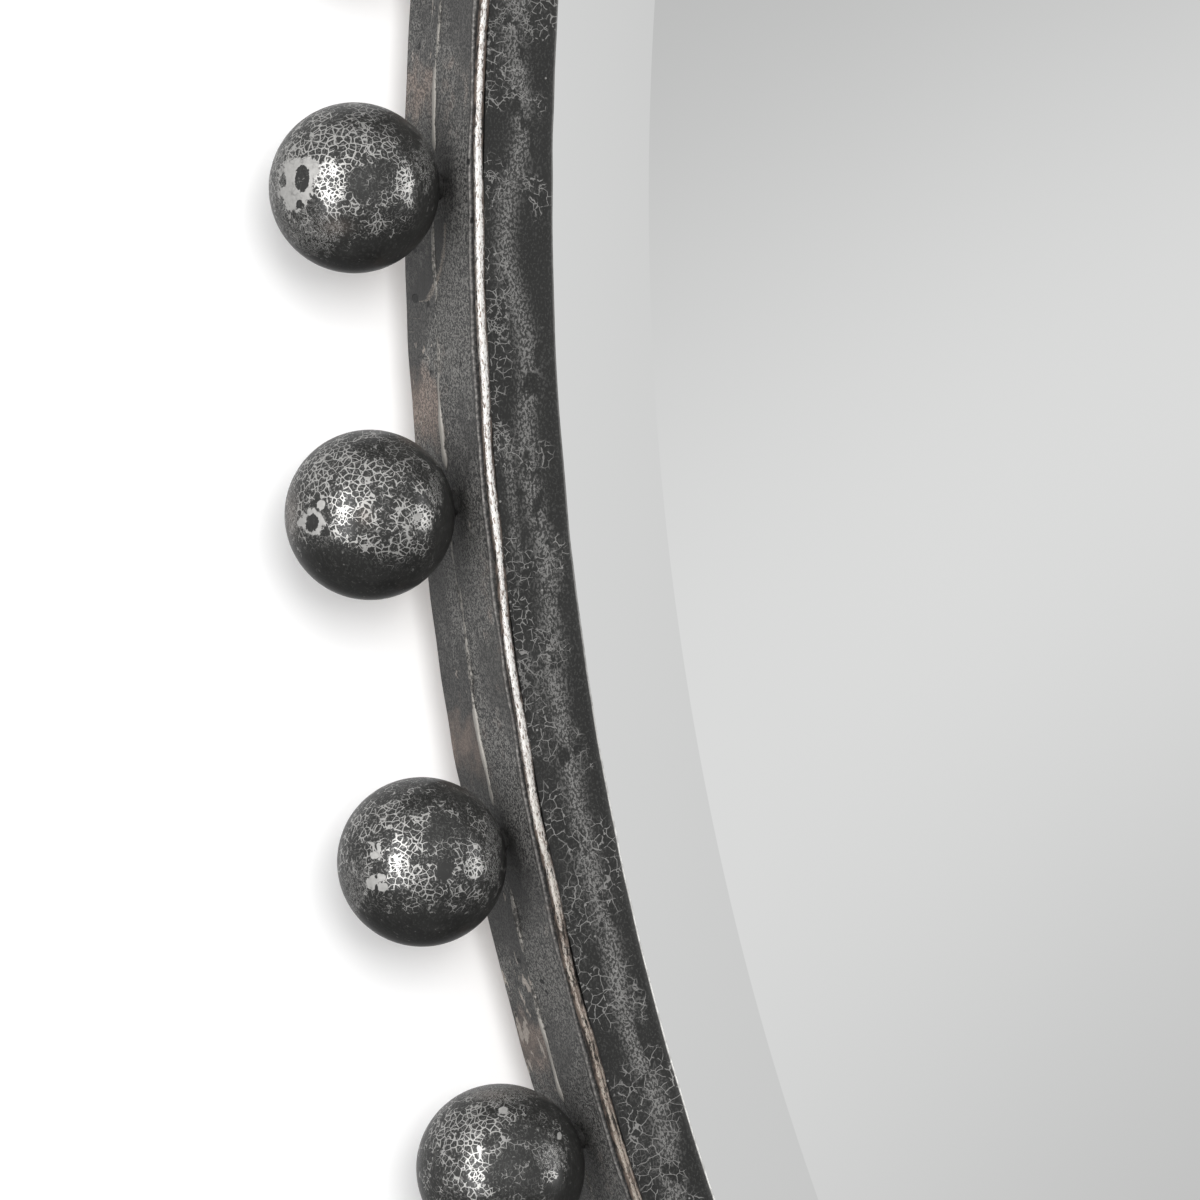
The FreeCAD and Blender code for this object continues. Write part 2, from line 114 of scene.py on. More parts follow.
# The hanging gear: the sleeves' bore and outer radius, the rings' half width, bend and foot in millimetres,
# and their wire's radius
SLEEVE_BORE = 1.6 * MM
SLEEVE_OUTER = 3.0 * MM
RING_HALF, RING_BEND, RING_FOOT = 13.5, 4.0, 10.5
RING_WIRE = 1.5 * MM

# How many steps each round piece has on its way round, and an outline's rounded corner
FACE_TURNS = 1200
BAND_TURNS = 1440
BEAD_TURNS = 1800
GLASS_TURNS = 900
ARC_STEPS = 4

# The bow of light ahead of the glass: the way to its middle, and the cosine of its reach
BOW_MIDDLE = (0.5065, -0.8378, -0.2038)
BOW_COSINE = 0.9856

# The backdrop: the wall's gap behind the mirror, the floor's drop below it, the bend between them and the
# sheet's reach
WALL_GAP = 8 * MM
FLOOR_DROP = 140 * MM
BACKDROP_BEND = 80 * MM
BACKDROP_REACH = 5.0
WALL_HEIGHT = 3.0

# The camera: where it stands, how far it is turned to the right and tipped up, and its lens
CAMERA_PLACE = Vector((-1.0297, -1.3951, 0.0507))
CAMERA_YAW = math.radians(23.291)
CAMERA_PITCH = math.radians(-4.216)
CAMERA_LENS = 303.62
FORWARD = Vector((
    math.sin(CAMERA_YAW) * math.cos(CAMERA_PITCH),
    math.cos(CAMERA_YAW) * math.cos(CAMERA_PITCH),
    math.sin(CAMERA_PITCH),
))
RIGHT = Vector((math.cos(CAMERA_YAW), -math.sin(CAMERA_YAW), 0))
UP = RIGHT.cross(FORWARD)

# Marks on the balls that face the camera, by kind. Each is its place to the right and up from the ball's
# centre as the camera sees it, and its half width and half height, all in ball radii.
# silver: paint gone down to bright metal. island: paint left standing in such a patch. dense: close fine
# crackle. crackle: more of it. thin: fainter. bare: none of it. mottle: fine speckle. blush: brown tint.
# Painted highlight: the dense marks, and ball 1's silver mark at (0.58, -0.03), lie where lamp highlights
# fall
BALL_MARKS = {
    0: {
        "silver": ((-0.66, 0.02, 0.22, 0.32), (-0.52, 0.2, 0.15, 0.13)),
        "island": ((-0.585, 0.075, 0.085, 0.155), (-0.815, 0.06, 0.04, 0.08), (-0.62, -0.22, 0.04, 0.05),
                   (-0.39, -0.05, 0.05, 0.05)),
        "dense": ((-0.26, 0.03, 0.19, 0.24), (0.6, 0.04, 0.11, 0.17)),
        "crackle": ((-0.16, 0.55, 0.44, 0.3), (0.2, 0.38, 0.3, 0.2), (0.62, 0, 0.26, 0.4),
                    (0.2, -0.55, 0.22, 0.16)),
        "thin": ((0.12, 0.05, 0.17, 0.26), (0.4, 0.2, 0.3, 0.3), (0.62, 0.62, 0.36, 0.24)),
        "bare": ((0.34, -0.86, 0.62, 0.22), (0.97, 0, 0.16, 0.9)),
        "mottle": ((0.84, 0.3, 0.1, 0.34), (-0.46, -0.56, 0.32, 0.24), (-0.85, 0.1, 0.13, 0.5)),
        "blush": ((-0.19, -0.49, 0.16, 0.09),),
    },
    1: {
        "silver": ((-0.645, -0.09, 0.145, 0.16), (-0.78, -0.09, 0.06, 0.05), (-0.55, 0.11, 0.05, 0.06),
                   (0.58, -0.03, 0.05, 0.045)),
        "island": ((-0.656, -0.1, 0.08, 0.1),),
        "dense": ((0.62, -0.04, 0.13, 0.15), (-0.28, -0.02, 0.1, 0.12)),
        "crackle": ((-0.26, 0.4, 0.4, 0.3), (0.15, -0.48, 0.4, 0.26), (0.1, -0.1, 0.3, 0.26),
                    (0.52, -0.1, 0.26, 0.36)),
        "thin": ((0.42, 0.7, 0.26, 0.2), (0.15, -0.66, 0.36, 0.14)),
        "bare": ((-0.42, -0.66, 0.36, 0.22), (0.35, -0.95, 0.7, 0.16), (0.97, 0, 0.14, 0.9)),
        "mottle": ((-0.9, 0, 0.07, 0.34), (0.78, 0.3, 0.08, 0.24)),
        "blush": ((-0.93, 0, 0.1, 0.3), (-0.04, -0.02, 0.08, 0.1)),
    },
    2: {
        "silver": ((-0.565, -0.22, 0.07, 0.095), (-0.47, -0.155, 0.065, 0.05),
                   (-0.45, -0.27, 0.075, 0.06), (-0.53, 0.1, 0.07, 0.045)),
        "island": ((-0.515, -0.27, 0.012, 0.05), (-0.515, -0.13, 0.01, 0.04)),
        "dense": ((-0.26, 0, 0.12, 0.12), (0.62, -0.05, 0.1, 0.14)),
        "crackle": ((-0.34, 0.44, 0.4, 0.34), (0, -0.2, 0.4, 0.2), (0.62, 0.1, 0.24, 0.4)),
        "thin": ((0.2, 0.4, 0.2, 0.14), (0.45, 0.35, 0.4, 0.36), (0, -0.62, 0.6, 0.2)),
        "bare": ((0.27, -0.09, 0.1, 0.1), (0.1, -0.92, 0.9, 0.24), (0.97, 0, 0.14, 0.9)),
        "mottle": ((-0.8, -0.3, 0.16, 0.3), (0.84, 0.1, 0.09, 0.45)),
    },
    3: {
        "silver": ((0.04, 0.72, 0.06, 0.045), (0.7, 0.41, 0.03, 0.05)),
        "dense": ((-0.27, -0.04, 0.09, 0.09), (0.58, -0.05, 0.1, 0.06)),
        "crackle": ((-0.34, 0.42, 0.44, 0.3),),
        "thin": ((-0.7, 0.2, 0.24, 0.4), (0.1, 0.2, 0.3, 0.3), (0.45, 0.45, 0.44, 0.4),
                 (0.4, -0.3, 0.5, 0.4), (0, 0.92, 0.6, 0.1)),
        "bare": ((0.97, 0, 0.16, 0.9),),
        "mottle": ((0, 0.9, 0.4, 0.1), (0.62, 0.2, 0.16, 0.2)),
        "blush": ((-0.1, 0.9, 0.2, 0.06),),
    },
}

# What a soft mark adds to the fields of a ball's finish at its middle
MARK_GAINS = {
    "crackle": {"cover": 0.20, "strength": 0.24},
    "thin": {"strength": -0.45, "cover": -0.08},
    "bare": {"cover": -0.95},
    "mottle": {"mottle": 0.85},
    "blush": {"blush": 0.6},
}

# Marks on the other balls: a kind, how many at most, and the least and most half width
CHANCE_MARKS = (
    ("silver", 4, 0.08, 0.26),
    ("dense", 4, 0.12, 0.28),
    ("bare", 4, 0.25, 0.60),
    ("mottle", 4, 0.20, 0.50),
    ("blush", 3, 0.10, 0.30),
    ("crackle", 3, 0.30, 0.60),
)


def length(name, description, default):
    """A size in metres, as a property."""
    return bpy.props.FloatProperty(
        name=name, description=description, default=default, min=0.0, unit="LENGTH", precision=5
    )


def colour(name, description, default):
    """A colour, as a property."""
    return bpy.props.FloatVectorProperty(
        name=name, description=description, default=default, size=3, min=0.0, max=1.0, subtype="COLOR"
    )


class MirrorSizes(bpy.types.PropertyGroup):
    """Sizes of the frame, and of its hand-made unevenness."""

    opening_radius: length("Opening radius", "Radius of the round opening in the face ring", 0.443)
    band_outer: length("Band radius", "Outer radius of the side band", BAND_HIGH.x)
    band_thickness: length("Band thickness", "Thickness of the side band's strips", 0.0016)
    ball_circle: length("Ball circle", "Radius of the circle on which the balls' centres lie", 0.4691)
    ball_radius: length("Ball radius", "Radius of each steel ball", BALL_RADIUS)
    hand_wave: length("Hand wave", "How far the hammered bands stray from a true round", 0.00010)
    bead_wander: length("Bead wander", "How far the edge bead strays from its line", 0.00012)
    seam_wander: length("Seam wander", "How far the raised seam strays from its line", 0.00035)
    crackle_cell: length("Crackle cell", "Usual width of the cells between cracks on the balls", 0.00102)
    crackle_line: length("Crackle line", "Half the width of a crack", 0.000045)


class MirrorColours(bpy.types.PropertyGroup):
    """Colours of the finishes."""

    paint: colour("Paint", "Charcoal paint on the iron", (0.024, 0.024, 0.023))
    silver: colour("Silver", "Bright metal that shows in the cracks and patches", (0.66, 0.65, 0.63))
    tint: colour("Heat tint", "Brown tint beside the welds", (0.20, 0.160, 0.138))
    glass: colour("Glass", "Silvered glass", (0.88, 0.885, 0.88))
    zinc: colour("Zinc", "Plated wire and sleeves", (0.62, 0.63, 0.65))
    steel: colour("Steel", "Unpainted mild steel", (0.36, 0.35, 0.34))
    board: colour("Board", "Brown fibreboard", (0.23, 0.135, 0.07))
    bumper: colour("Bumper", "Grey rubber", (0.30, 0.30, 0.30))
    rubber: colour("Rubber", "Black rubber", (0.018, 0.018, 0.018))
    wall: colour("Wall and floor", "Plain pale backdrop", (0.75, 0.75, 0.75))


# Shapes

def wrapped_quads(rows, columns, rows_close):
    """Corner numbers of the faces of a grid whose columns close into a ring, and whose rows may."""
    row = np.arange(rows if rows_close else rows - 1)[:, None]
    column = np.arange(columns)[None, :]
    next_row = (row + 1) % rows
    next_column = (column + 1) % columns
    corners = (row * columns + column, next_row * columns + column,
               next_row * columns + next_column, row * columns + next_column)
    return np.stack(np.broadcast_arrays(*corners), -1).reshape(-1, 4)


def turns(count):
    """Angles that go evenly once round."""
    return np.arange(count) * FULL_TURN / count


def ring_grid(points):
    """Points of rows by columns that close both ways, as a flat list of points and its faces."""
    rows, columns = points.shape[:2]
    return points.reshape(-1, 3), wrapped_quads(rows, columns, True).tolist()


def capped_shells(points, first_caps, last_caps):
    """Closed shells. Each is rows by ring columns, and one point closes its first row and one its last."""
    shells, rows, columns = points.shape[:3]
    size = rows * columns + 2
    column = np.arange(columns)
    following = (column + 1) % columns
    first = np.stack([np.full(columns, size - 2), column, following], -1)
    last_row = (rows - 1) * columns
    last = np.stack([np.full(columns, size - 1), last_row + following, last_row + column], -1)
    quads = wrapped_quads(rows, columns, False)
    shift = (np.arange(shells) * size)[:, None, None]
    quads = (quads[None] + shift).reshape(-1, 4)
    fans = (np.concatenate([first, last])[None] + shift).reshape(-1, 3)
    flat = np.concatenate([points.reshape(shells, -1, 3), first_caps[:, None], last_caps[:, None]], 1)
    return flat.reshape(-1, 3), quads.tolist() + fans.tolist()


def turned_outwards(points, faces):
    """Turns all faces round if the shape's signed volume, the sum of a · (b × c) / 6, is below zero."""
    corners = np.array([(face[0], face[1], face[2]) for face in faces])
    others = np.array([(face[0], face[2], face[3]) for face in faces if len(face) == 4])
    triangles = points[np.concatenate([corners, others]) if len(others) else corners]
    volume = (triangles[:, 0] * np.cross(triangles[:, 1], triangles[:, 2])).sum() / 6
    return [face[::-1] for face in faces] if volume < 0 else faces


def make_piece(name, shape, finish, nodes, body=FRAME_BODY, fields=None, sharp_rows=None):
    """Makes one finished piece: its mesh, named fields on its points, its finish and its body."""
    points, faces = shape
    mesh = bpy.data.meshes.new(name)
    mesh.from_pydata(points.tolist(), [], turned_outwards(points, faces))
    mesh.shade_smooth()
    for field, values in (fields or {}).items():
        values = values.astype(np.float32).ravel()
        mesh.attributes.new(field, "FLOAT", "POINT").data.foreach_set("value", values)
    if sharp_rows is not None:
        mark_sharp(mesh, sharp_rows)
    mesh.materials.append(finish)
    mesh.update()
    if mesh.validate():
        raise RuntimeError(f"the mesh of {name} has a fault")
    piece = bpy.data.objects.new(name, mesh)
    bpy.context.scene.collection.objects.link(piece)
    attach(piece, body)
    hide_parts(*nodes)


def mark_sharp(mesh, sharp):
    """Makes an edge sharp where both its ends carry the same whole number above zero."""
    ends = np.empty(len(mesh.edges) * 2, np.int32)
    mesh.edges.foreach_get("vertices", ends)
    marks = sharp[ends.reshape(-1, 2)]
    hard = (marks[:, 0] > 0) & (marks[:, 0] == marks[:, 1])
    mesh.attributes.new("sharp_edge", "BOOLEAN", "EDGE").data.foreach_set("value", hard)


def rounded_outline(corners, roundings, spacing):
    """A closed outline through corners (radius, depth), as evenly filled points.
    Each corner gives way to an arc that starts and ends at its rounding's length along the two sides:
    the arc is the curve (1-t)² start + 2t(1-t) corner + t² end. Sides are filled at the spacing, with a
    point close to each end that keeps them flat in the shading."""
    corners = np.array(corners, float)
    before = np.roll(corners, 1, 0) - corners
    after = np.roll(corners, -1, 0) - corners
    before /= np.linalg.norm(before, axis=1)[:, None]
    after /= np.linalg.norm(after, axis=1)[:, None]
    reach = np.array(roundings, float)[:, None]
    start = corners + before * reach
    end = corners + after * reach
    share = np.linspace(0, 1, ARC_STEPS + 1)[None, :, None]
    arcs = (1 - share) ** 2 * start[:, None] + 2 * share * (1 - share) * corners[:, None]
    arcs = arcs + share ** 2 * end[:, None]
    filled = []
    for corner in range(len(corners)):
        filled.append(arcs[corner] if reach[corner] > 0 else corners[corner][None])
        following = start[(corner + 1) % len(corners)]
        gap = np.linalg.norm(following - end[corner])
        fill = np.linspace(0, 1, max(2, math.ceil(gap / spacing) + 1))[1:-1]
        close = min(0.05 * MM / gap, 0.2)
        fill = np.concatenate([[close], fill, [1 - close]])[:, None]
        filled.append(end[corner] + fill * (following - end[corner]))
    return np.concatenate(filled)


def about_ring_axis(radius, depth, angle):
    """The point at a radius, a depth and an angle a: (radius cos a, depth, radius sin a)."""
    radius, depth, angle = np.broadcast_arrays(radius, depth, angle)
    return np.stack([radius * np.cos(angle), depth, radius * np.sin(angle)], -1)


def about_radius(out, side, depth, angle):
    """The point so far out along the radius at an angle a, and so far to its side:
    (out cos a - side sin a, depth, out sin a + side cos a)."""
    out, side, depth, angle = np.broadcast_arrays(out, side, depth, angle)
    return np.stack([out * np.cos(angle) - side * np.sin(angle), depth,
                     out * np.sin(angle) + side * np.cos(angle)], -1)


def ripples(angle, across, seed, count, longest, shortest, slant):
    """A smooth uneven field round the ring: the sum of cos(n angle + m across + phase) over chance n, m and
    phase, scaled to a usual reach from -1 to 1. Each n is whole, so the field closes on itself. The longest
    and shortest wave are in metres, and the slant is the most that m can be."""
    chance = np.random.default_rng(seed)
    round_trip = FULL_TURN * BAND_HIGH.x
    whole = chance.integers(int(round_trip / longest), int(round_trip / shortest) + 1, count)
    slants = chance.uniform(-slant, slant, count)
    phases = chance.uniform(0, FULL_TURN, count)
    waves = np.cos(whole * angle[..., None] + slants * across[..., None] + phases)
    return waves.sum(-1) * math.sqrt(2 / count)


def smooth_step(value, low, high):
    """0 below low, 1 above high, and 3t² - 2t³ between them."""
    share = np.clip((value - low) / (high - low), 0, 1)
    return share * share * (3 - 2 * share)


def ball_angle(ball):
    """The angle of a ball round the ring: the first is farthest left, and the count runs downwards."""
    share = np.array(SPACING_SHARES)[np.asarray(ball, int) % len(SPACING_SHARES)]
    return math.pi + (np.asarray(ball) + share) * FULL_TURN / BALL_COUNT


def below_ball(sizes, angle, ball):
    """How far an angle is below a ball's centre along the band, in millimetres."""
    return (angle - ball_angle(ball)) * sizes.band_outer / MM


def band_point(ball, below, depth):
    """A point on the band in millimetres: so far below a ball's centre, and at a depth."""
    angle = ball_angle(ball) + below * MM / BAND_HIGH.x
    return (BAND_HIGH.x / MM * math.cos(angle), depth, BAND_HIGH.x / MM * math.sin(angle))


# Light smears on the rear strip: a ball, how far below its centre, and a half length, in millimetres
BAND_SMEARS = (
    (2, 23.5, 2.6),
    (2, 30.5, 3.0),
    (3, 20.0, 4.0),
    (14, 20.0, 5.0),
    (23, 30.0, 6.0),
    (31, 18.0, 5.0),
    (44, 24.0, 5.0),
    (53, 30.0, 4.0),
    (58, 32.0, 3.0),
)

# Round pits in the band's paint that the camera sees: where each is, and its radius in millimetres
BAND_PITS = (
    (band_point(0, 17.0, 8.9), 0.75),
    (band_point(0, 9.8, 8.6), 0.40),
    (band_point(2, 19.5, 4.0), 0.50),
    (band_point(2, 22.0, -3.4), 0.45),
)


# Finishes

class Value:
    """A number, colour or place inside a node tree. A sum or product of values is a node of that tree."""

    def __init__(self, nodes, socket):
        self.nodes = nodes
        self.socket = socket

    def __add__(self, other):
        return self.nodes.maths("ADD", self, other)

    def __radd__(self, other):
        return self.nodes.maths("ADD", other, self)

    def __sub__(self, number):
        return self.nodes.maths("ADD", self, -number)

    def __mul__(self, other):
        return self.nodes.maths("MULTIPLY", self, other)

    def __abs__(self):
        return self.nodes.maths("ABSOLUTE", self)

    def step(self, low, high, start=0.0, end=1.0):
        """Goes smoothly from start to end while this value goes from low to high."""
        node = self.nodes.add("ShaderNodeMapRange", interpolation_type="SMOOTHSTEP")
        self.nodes.feed_all(node, self, low, high, start, end)
        return self.nodes.output(node)


class Nodes:
    """Builds one node tree."""

    def __init__(self, owner):
        owner.use_nodes = True
        self.tree = owner.node_tree
        self.tree.nodes.clear()

    def add(self, kind, **settings):
        """Adds a node."""
        node = self.tree.nodes.new(kind)
        for setting, value in settings.items():
            setattr(node, setting, value)
        return node

    def feed(self, socket, value):
        """Links a value to a socket, or sets the socket."""
        if isinstance(value, Value):
            self.tree.links.new(value.socket, socket)
        elif isinstance(value, (int, float)) or len(value) == len(socket.default_value):
            socket.default_value = value
        else:
            socket.default_value = (*value, 1.0)

    def feed_all(self, node, *values):
        """Feeds a node's first sockets in turn."""
        for socket, value in zip(node.inputs, values):
            self.feed(socket, value)

    def output(self, node, name=0):
        """One output of a node, by its name or number."""
        return Value(self, node.outputs[name])

    def maths(self, operation, first, second=0.0):
        """One operation on numbers."""
        node = self.add("ShaderNodeMath", operation=operation)
        self.feed_all(node, first, second)
        return self.output(node)

    def greater(self, first, *others):
        """The greatest of some values."""
        for other in others:
            first = self.maths("MAXIMUM", first, other)
        return first

    def vector(self, operation, first, second=(0, 0, 0)):
        """One operation on vectors."""
        node = self.add("ShaderNodeVectorMath", operation=operation)
        self.feed(node.inputs[0], first)
        self.feed(node.inputs[3] if operation == "SCALE" else node.inputs[1], second)
        return self.output(node, 1 if operation in ("DOT_PRODUCT", "LENGTH") else 0)


class Finish(Nodes):
    """One procedural material. Its patterns are laid out in millimetres on the object's own coordinates.
    Noise is 0.5 on average, so a noise less 0.5 swings evenly about nothing."""

    def __init__(self, name):
        self.material = bpy.data.materials.new(name)
        super().__init__(self.material)
        self.shader = self.add("ShaderNodeBsdfPrincipled")
        self.surface = self.add("ShaderNodeOutputMaterial").inputs["Surface"]
        self.feed(self.surface, self.output(self.shader))
        millimetres = self.add("ShaderNodeMapping")
        millimetres.inputs["Scale"].default_value = (1 / MM, 1 / MM, 1 / MM)
        self.feed(millimetres.inputs["Vector"], self.output(self.add("ShaderNodeTexCoord"), "Object"))
        self.place = self.output(millimetres)

    def noise(self, scale, detail=2.0, roughness=0.5, at=None, coloured=False):
        """Cloudy noise, 0.5 on average. The scale is in clouds to the millimetre."""
        node = self.add("ShaderNodeTexNoise")
        self.feed(node.inputs["Vector"], self.place if at is None else at)
        node.inputs["Scale"].default_value = scale
        node.inputs["Detail"].default_value = detail
        node.inputs["Roughness"].default_value = roughness
        return self.output(node, 1 if coloured else 0)

    def stretched(self, along_x, along_y, along_z):
        """The place with each axis scaled, for streaks."""
        return self.vector("MULTIPLY", self.place, (along_x, along_y, along_z))

    def round_ring(self, along, depth=1.0, radius=1.0):
        """The place as millimetres along the ring, in depth and from the axis, each scaled, for streaks that
        follow the ring. The way along it is a field of the piece's points."""
        parts = self.add("ShaderNodeSeparateXYZ")
        self.feed(parts.inputs[0], self.place)
        away = self.vector("LENGTH", self.vector("MULTIPLY", self.place, (1, 0, 1)))
        node = self.add("ShaderNodeCombineXYZ")
        self.feed_all(node, self.field("along") * along, self.output(parts, "Y") * depth, away * radius)
        return self.output(node)

    def strayed(self, scale, reach, at=None):
        """The place, moved about by noise through the reach in millimetres."""
        at = self.place if at is None else at
        chance = self.vector("SUBTRACT", self.noise(scale, 2.0, at=at, coloured=True), (0.5, 0.5, 0.5))
        return self.vector("ADD", at, self.vector("SCALE", chance, 2 * reach))

    def cells(self, size, at, feature="DISTANCE_TO_EDGE"):
        """Millimetres to the nearest border between irregular cells, or to the nearest centre."""
        node = self.add("ShaderNodeTexVoronoi", feature=feature)
        self.feed(node.inputs["Vector"], at)
        node.inputs["Scale"].default_value = 1 / size
        return self.output(node, "Distance") * size

    def cracks(self, size, half_width, at, weight=1.0):
        """1 along the borders between irregular cells, 0 inside. The width varies by noise and a weight."""
        width = self.noise(0.5).step(0.3, 0.7, 0.5 * half_width, 1.6 * half_width) * weight
        return self.cells(size, at).step(width, width + 0.03, 1.0, 0.0)

    def squiggles(self, cloud, half_width):
        """1 along the wandering lines where a noise crosses its middle value."""
        return abs(cloud - 0.5).step(half_width, 1.8 * half_width, 1.0, 0.0)

    def blend(self, share, first, second):
        """Goes from one colour to another."""
        node = self.add("ShaderNodeMix", data_type="RGBA")
        for place, value in ((0, share), (6, first), (7, second)):
            self.feed(node.inputs[place], value)
        return self.output(node, 2)

    def shades(self, share, shade, first, second):
        """Goes from one shade of a colour to another, each a share of its brightness."""
        return self.blend(share, scaled(shade, first), scaled(shade, second))

    def field(self, name):
        """A named field of the piece's points."""
        return self.output(self.add("ShaderNodeAttribute", attribute_name=name), "Fac")

    def shade(self, **sockets):
        """Sets the shader's own sockets, by their names with spaces written as underscores."""
        for name, value in sockets.items():
            self.feed(self.shader.inputs[name.replace("_", " ")], value)

    def emboss(self, height, depth, strength):
        """Raises the surface where the height is 1, through a depth in millimetres."""
        node = self.add("ShaderNodeBump")
        node.inputs["Strength"].default_value = strength
        node.inputs["Distance"].default_value = depth * MM
        self.feed(node.inputs["Height"], height)
        self.feed(self.shader.inputs["Normal"], self.output(node))


def scaled(shade, share):
    """A colour made lighter or darker."""
    return tuple(min(1.0, part * share) for part in shade)


def ball_paint(sizes, colours):
    """Charcoal paint on the balls, crazed all over into a silver network.
    Bright metal shows in the cracks and in rubbed patches with islands of paint left standing."""
    finish = Finish("crackle_paint_on_balls")
    cell = sizes.crackle_cell / MM
    line = sizes.crackle_line / MM

    # The network: large cells where it is kept, and scraps of smaller ones
    wide = finish.noise(0.42, 3.0)
    fine = finish.noise(1.5, 3.0, 0.6)
    place = finish.strayed(2.0, 0.11, finish.strayed(0.4, 0.6))
    cover = finish.field("cover")
    strength = finish.field("strength")
    weight = strength * 0.8 + 0.25
    large = finish.cracks(cell, line, place, weight)
    small = finish.cracks(0.62 * cell, 0.6 * line, place, weight)
    close = finish.cracks(0.66 * cell, 1.1 * line, place)
    gaps = finish.noise(0.42, 2.0)
    clumps = finish.noise(0.95, 2.0)
    kept = (cover + (gaps - 0.5) * 1.9).step(0.44, 0.52)
    breaks = finish.noise(2.1, 1.0, at=finish.vector("ADD", finish.place, (31.0, 7.0, 3.0))) - 0.5
    kept = kept * (cover + breaks * 2.1).step(0.08, 0.22) * strength
    scraps = small * breaks.step(-0.03, 0.04) * cover.step(0.18, 0.45, 0.0, 0.28)
    network = finish.greater(large * kept, scraps * strength)

    # Close crackle, patches of bare metal, and fine mottle; the close crackle is also painted highlight
    loose = (fine - 0.5) * 1.1
    dense = close * (finish.field("dense") + loose).step(0.15, 0.4)
    patch = (finish.field("silver") + loose).step(-0.02, 0.12)
    speck = finish.noise(2.4, 3.0, 0.62, at=finish.stretched(1.0, 1.0, 0.42))
    mottle = finish.greater(speck.step(0.6, 0.66, 0.0, 0.8), finish.squiggles(speck, 0.013))
    mottle = mottle * (finish.field("mottle") + (clumps - 0.5) * 1.4).step(0.25, 0.5)
    lines = finish.greater(network, dense)
    worn = finish.greater(patch, mottle * 0.75)
    bright = finish.greater(lines, worn)

    paint = finish.shades(wide, colours.paint, 0.5, 1.2)
    paint = finish.blend(speck.step(0.52, 0.62, 0.0, 0.35), paint, scaled(colours.paint, 2.8))
    metal = finish.shades(wide, colours.silver, 0.78, 1.12)
    blush = finish.field("blush")
    paint = finish.blend(blush * 0.35, paint, colours.tint)
    metal = finish.blend(blush * 0.6, metal, scaled(colours.tint, 2.2))
    metal = finish.blend(worn, metal, finish.shades(fine, colours.silver, 0.42, 0.82))
    dull = finish.greater(worn, speck.step(0.4, 0.6, 0.0, 0.5))
    finish.shade(
        Base_Color=finish.blend(bright, paint, metal),
        Metallic=finish.greater(lines * 0.9, worn * 0.35),
        Roughness=worn.step(0.0, 1.0, 0.37, 0.5) + (fine - 0.5) * 0.12,
        Specular_IOR_Level=0.20,
        Coat_Weight=dull.step(0.0, 1.0, 0.6, 0.1),
        Coat_Roughness=0.20,
        Coat_IOR=1.55,
    )
    finish.emboss(bright * -1.0 + speck * 0.35, 0.025, 0.6)
    return finish.material


def face_paint(sizes, colours):
    """Charcoal paint on the face ring, with open branching cracks and a mottled stripe along its middle."""
    finish = Finish("crackle_paint_on_face")
    wide = finish.noise(0.10, 3.0)
    fine = finish.noise(0.9, 3.0, 0.6)
    place = finish.strayed(1.1, 0.24, finish.strayed(0.3, 0.7))
    low = finish.field("low")

    # The network, with wider cells in the lower part of the ring
    above = finish.cracks(1.35, 0.026, place) * low.step(0.35, 0.65, 1.0, 0.0)
    below = finish.cracks(1.8, 0.03, place) * low.step(0.35, 0.65)
    small = finish.cracks(0.75, 0.018, place)
    broken = (finish.noise(0.75, 2.0) + low * 0.04).step(0.44, 0.5)
    here = (finish.field("cover") + (wide - 0.5) * 1.6).step(0.4, 0.58)
    crowd = finish.noise(0.16).step(0.52, 0.62)
    network = finish.greater(above, below, small * crowd * low.step(0.3, 0.7, 1.0, 0.3))
    network = network * broken * here

    # The mottled stripe, bright dots and the rubbed inner edge, partly a painted highlight
    speck = finish.noise(3.0, 3.0, 0.65, at=finish.round_ring(0.65))
    blotch = finish.noise(0.42, 3.0, 0.6, at=finish.round_ring(0.5)).step(0.38, 0.48)
    stripe = speck.step(0.48, 0.55, 0.1, 1.0) * (blotch * finish.field("stripe"))
    dots = finish.cells(3.6, finish.place, "F1").step(0.14, 0.22, 1.0, 0.0)
    rub = finish.field("rub") * finish.noise(0.8, 3.0).step(0.35, 0.55, 0.75, 1.0)
    bright = finish.greater(network * 0.85, stripe * 0.74, dots, rub)

    paint = finish.shades(wide, colours.paint, 0.4, 0.9)
    paint = finish.blend(speck.step(0.53, 0.6, 0.0, 0.35), paint, scaled(colours.paint, 3.0))
    metal = finish.shades(fine, colours.silver, 0.36, 0.66)
    metal = finish.blend(rub, metal, scaled(colours.silver, 1.45))
    finish.shade(
        Base_Color=finish.blend(bright, paint, metal),
        Metallic=(bright + rub * -0.8) * 0.8,
        Roughness=0.4 + fine * 0.16,
        Specular_IOR_Level=0.34,
    )
    finish.emboss(bright * -1.0 + speck * 0.3, 0.02, 0.6)
    return finish.material


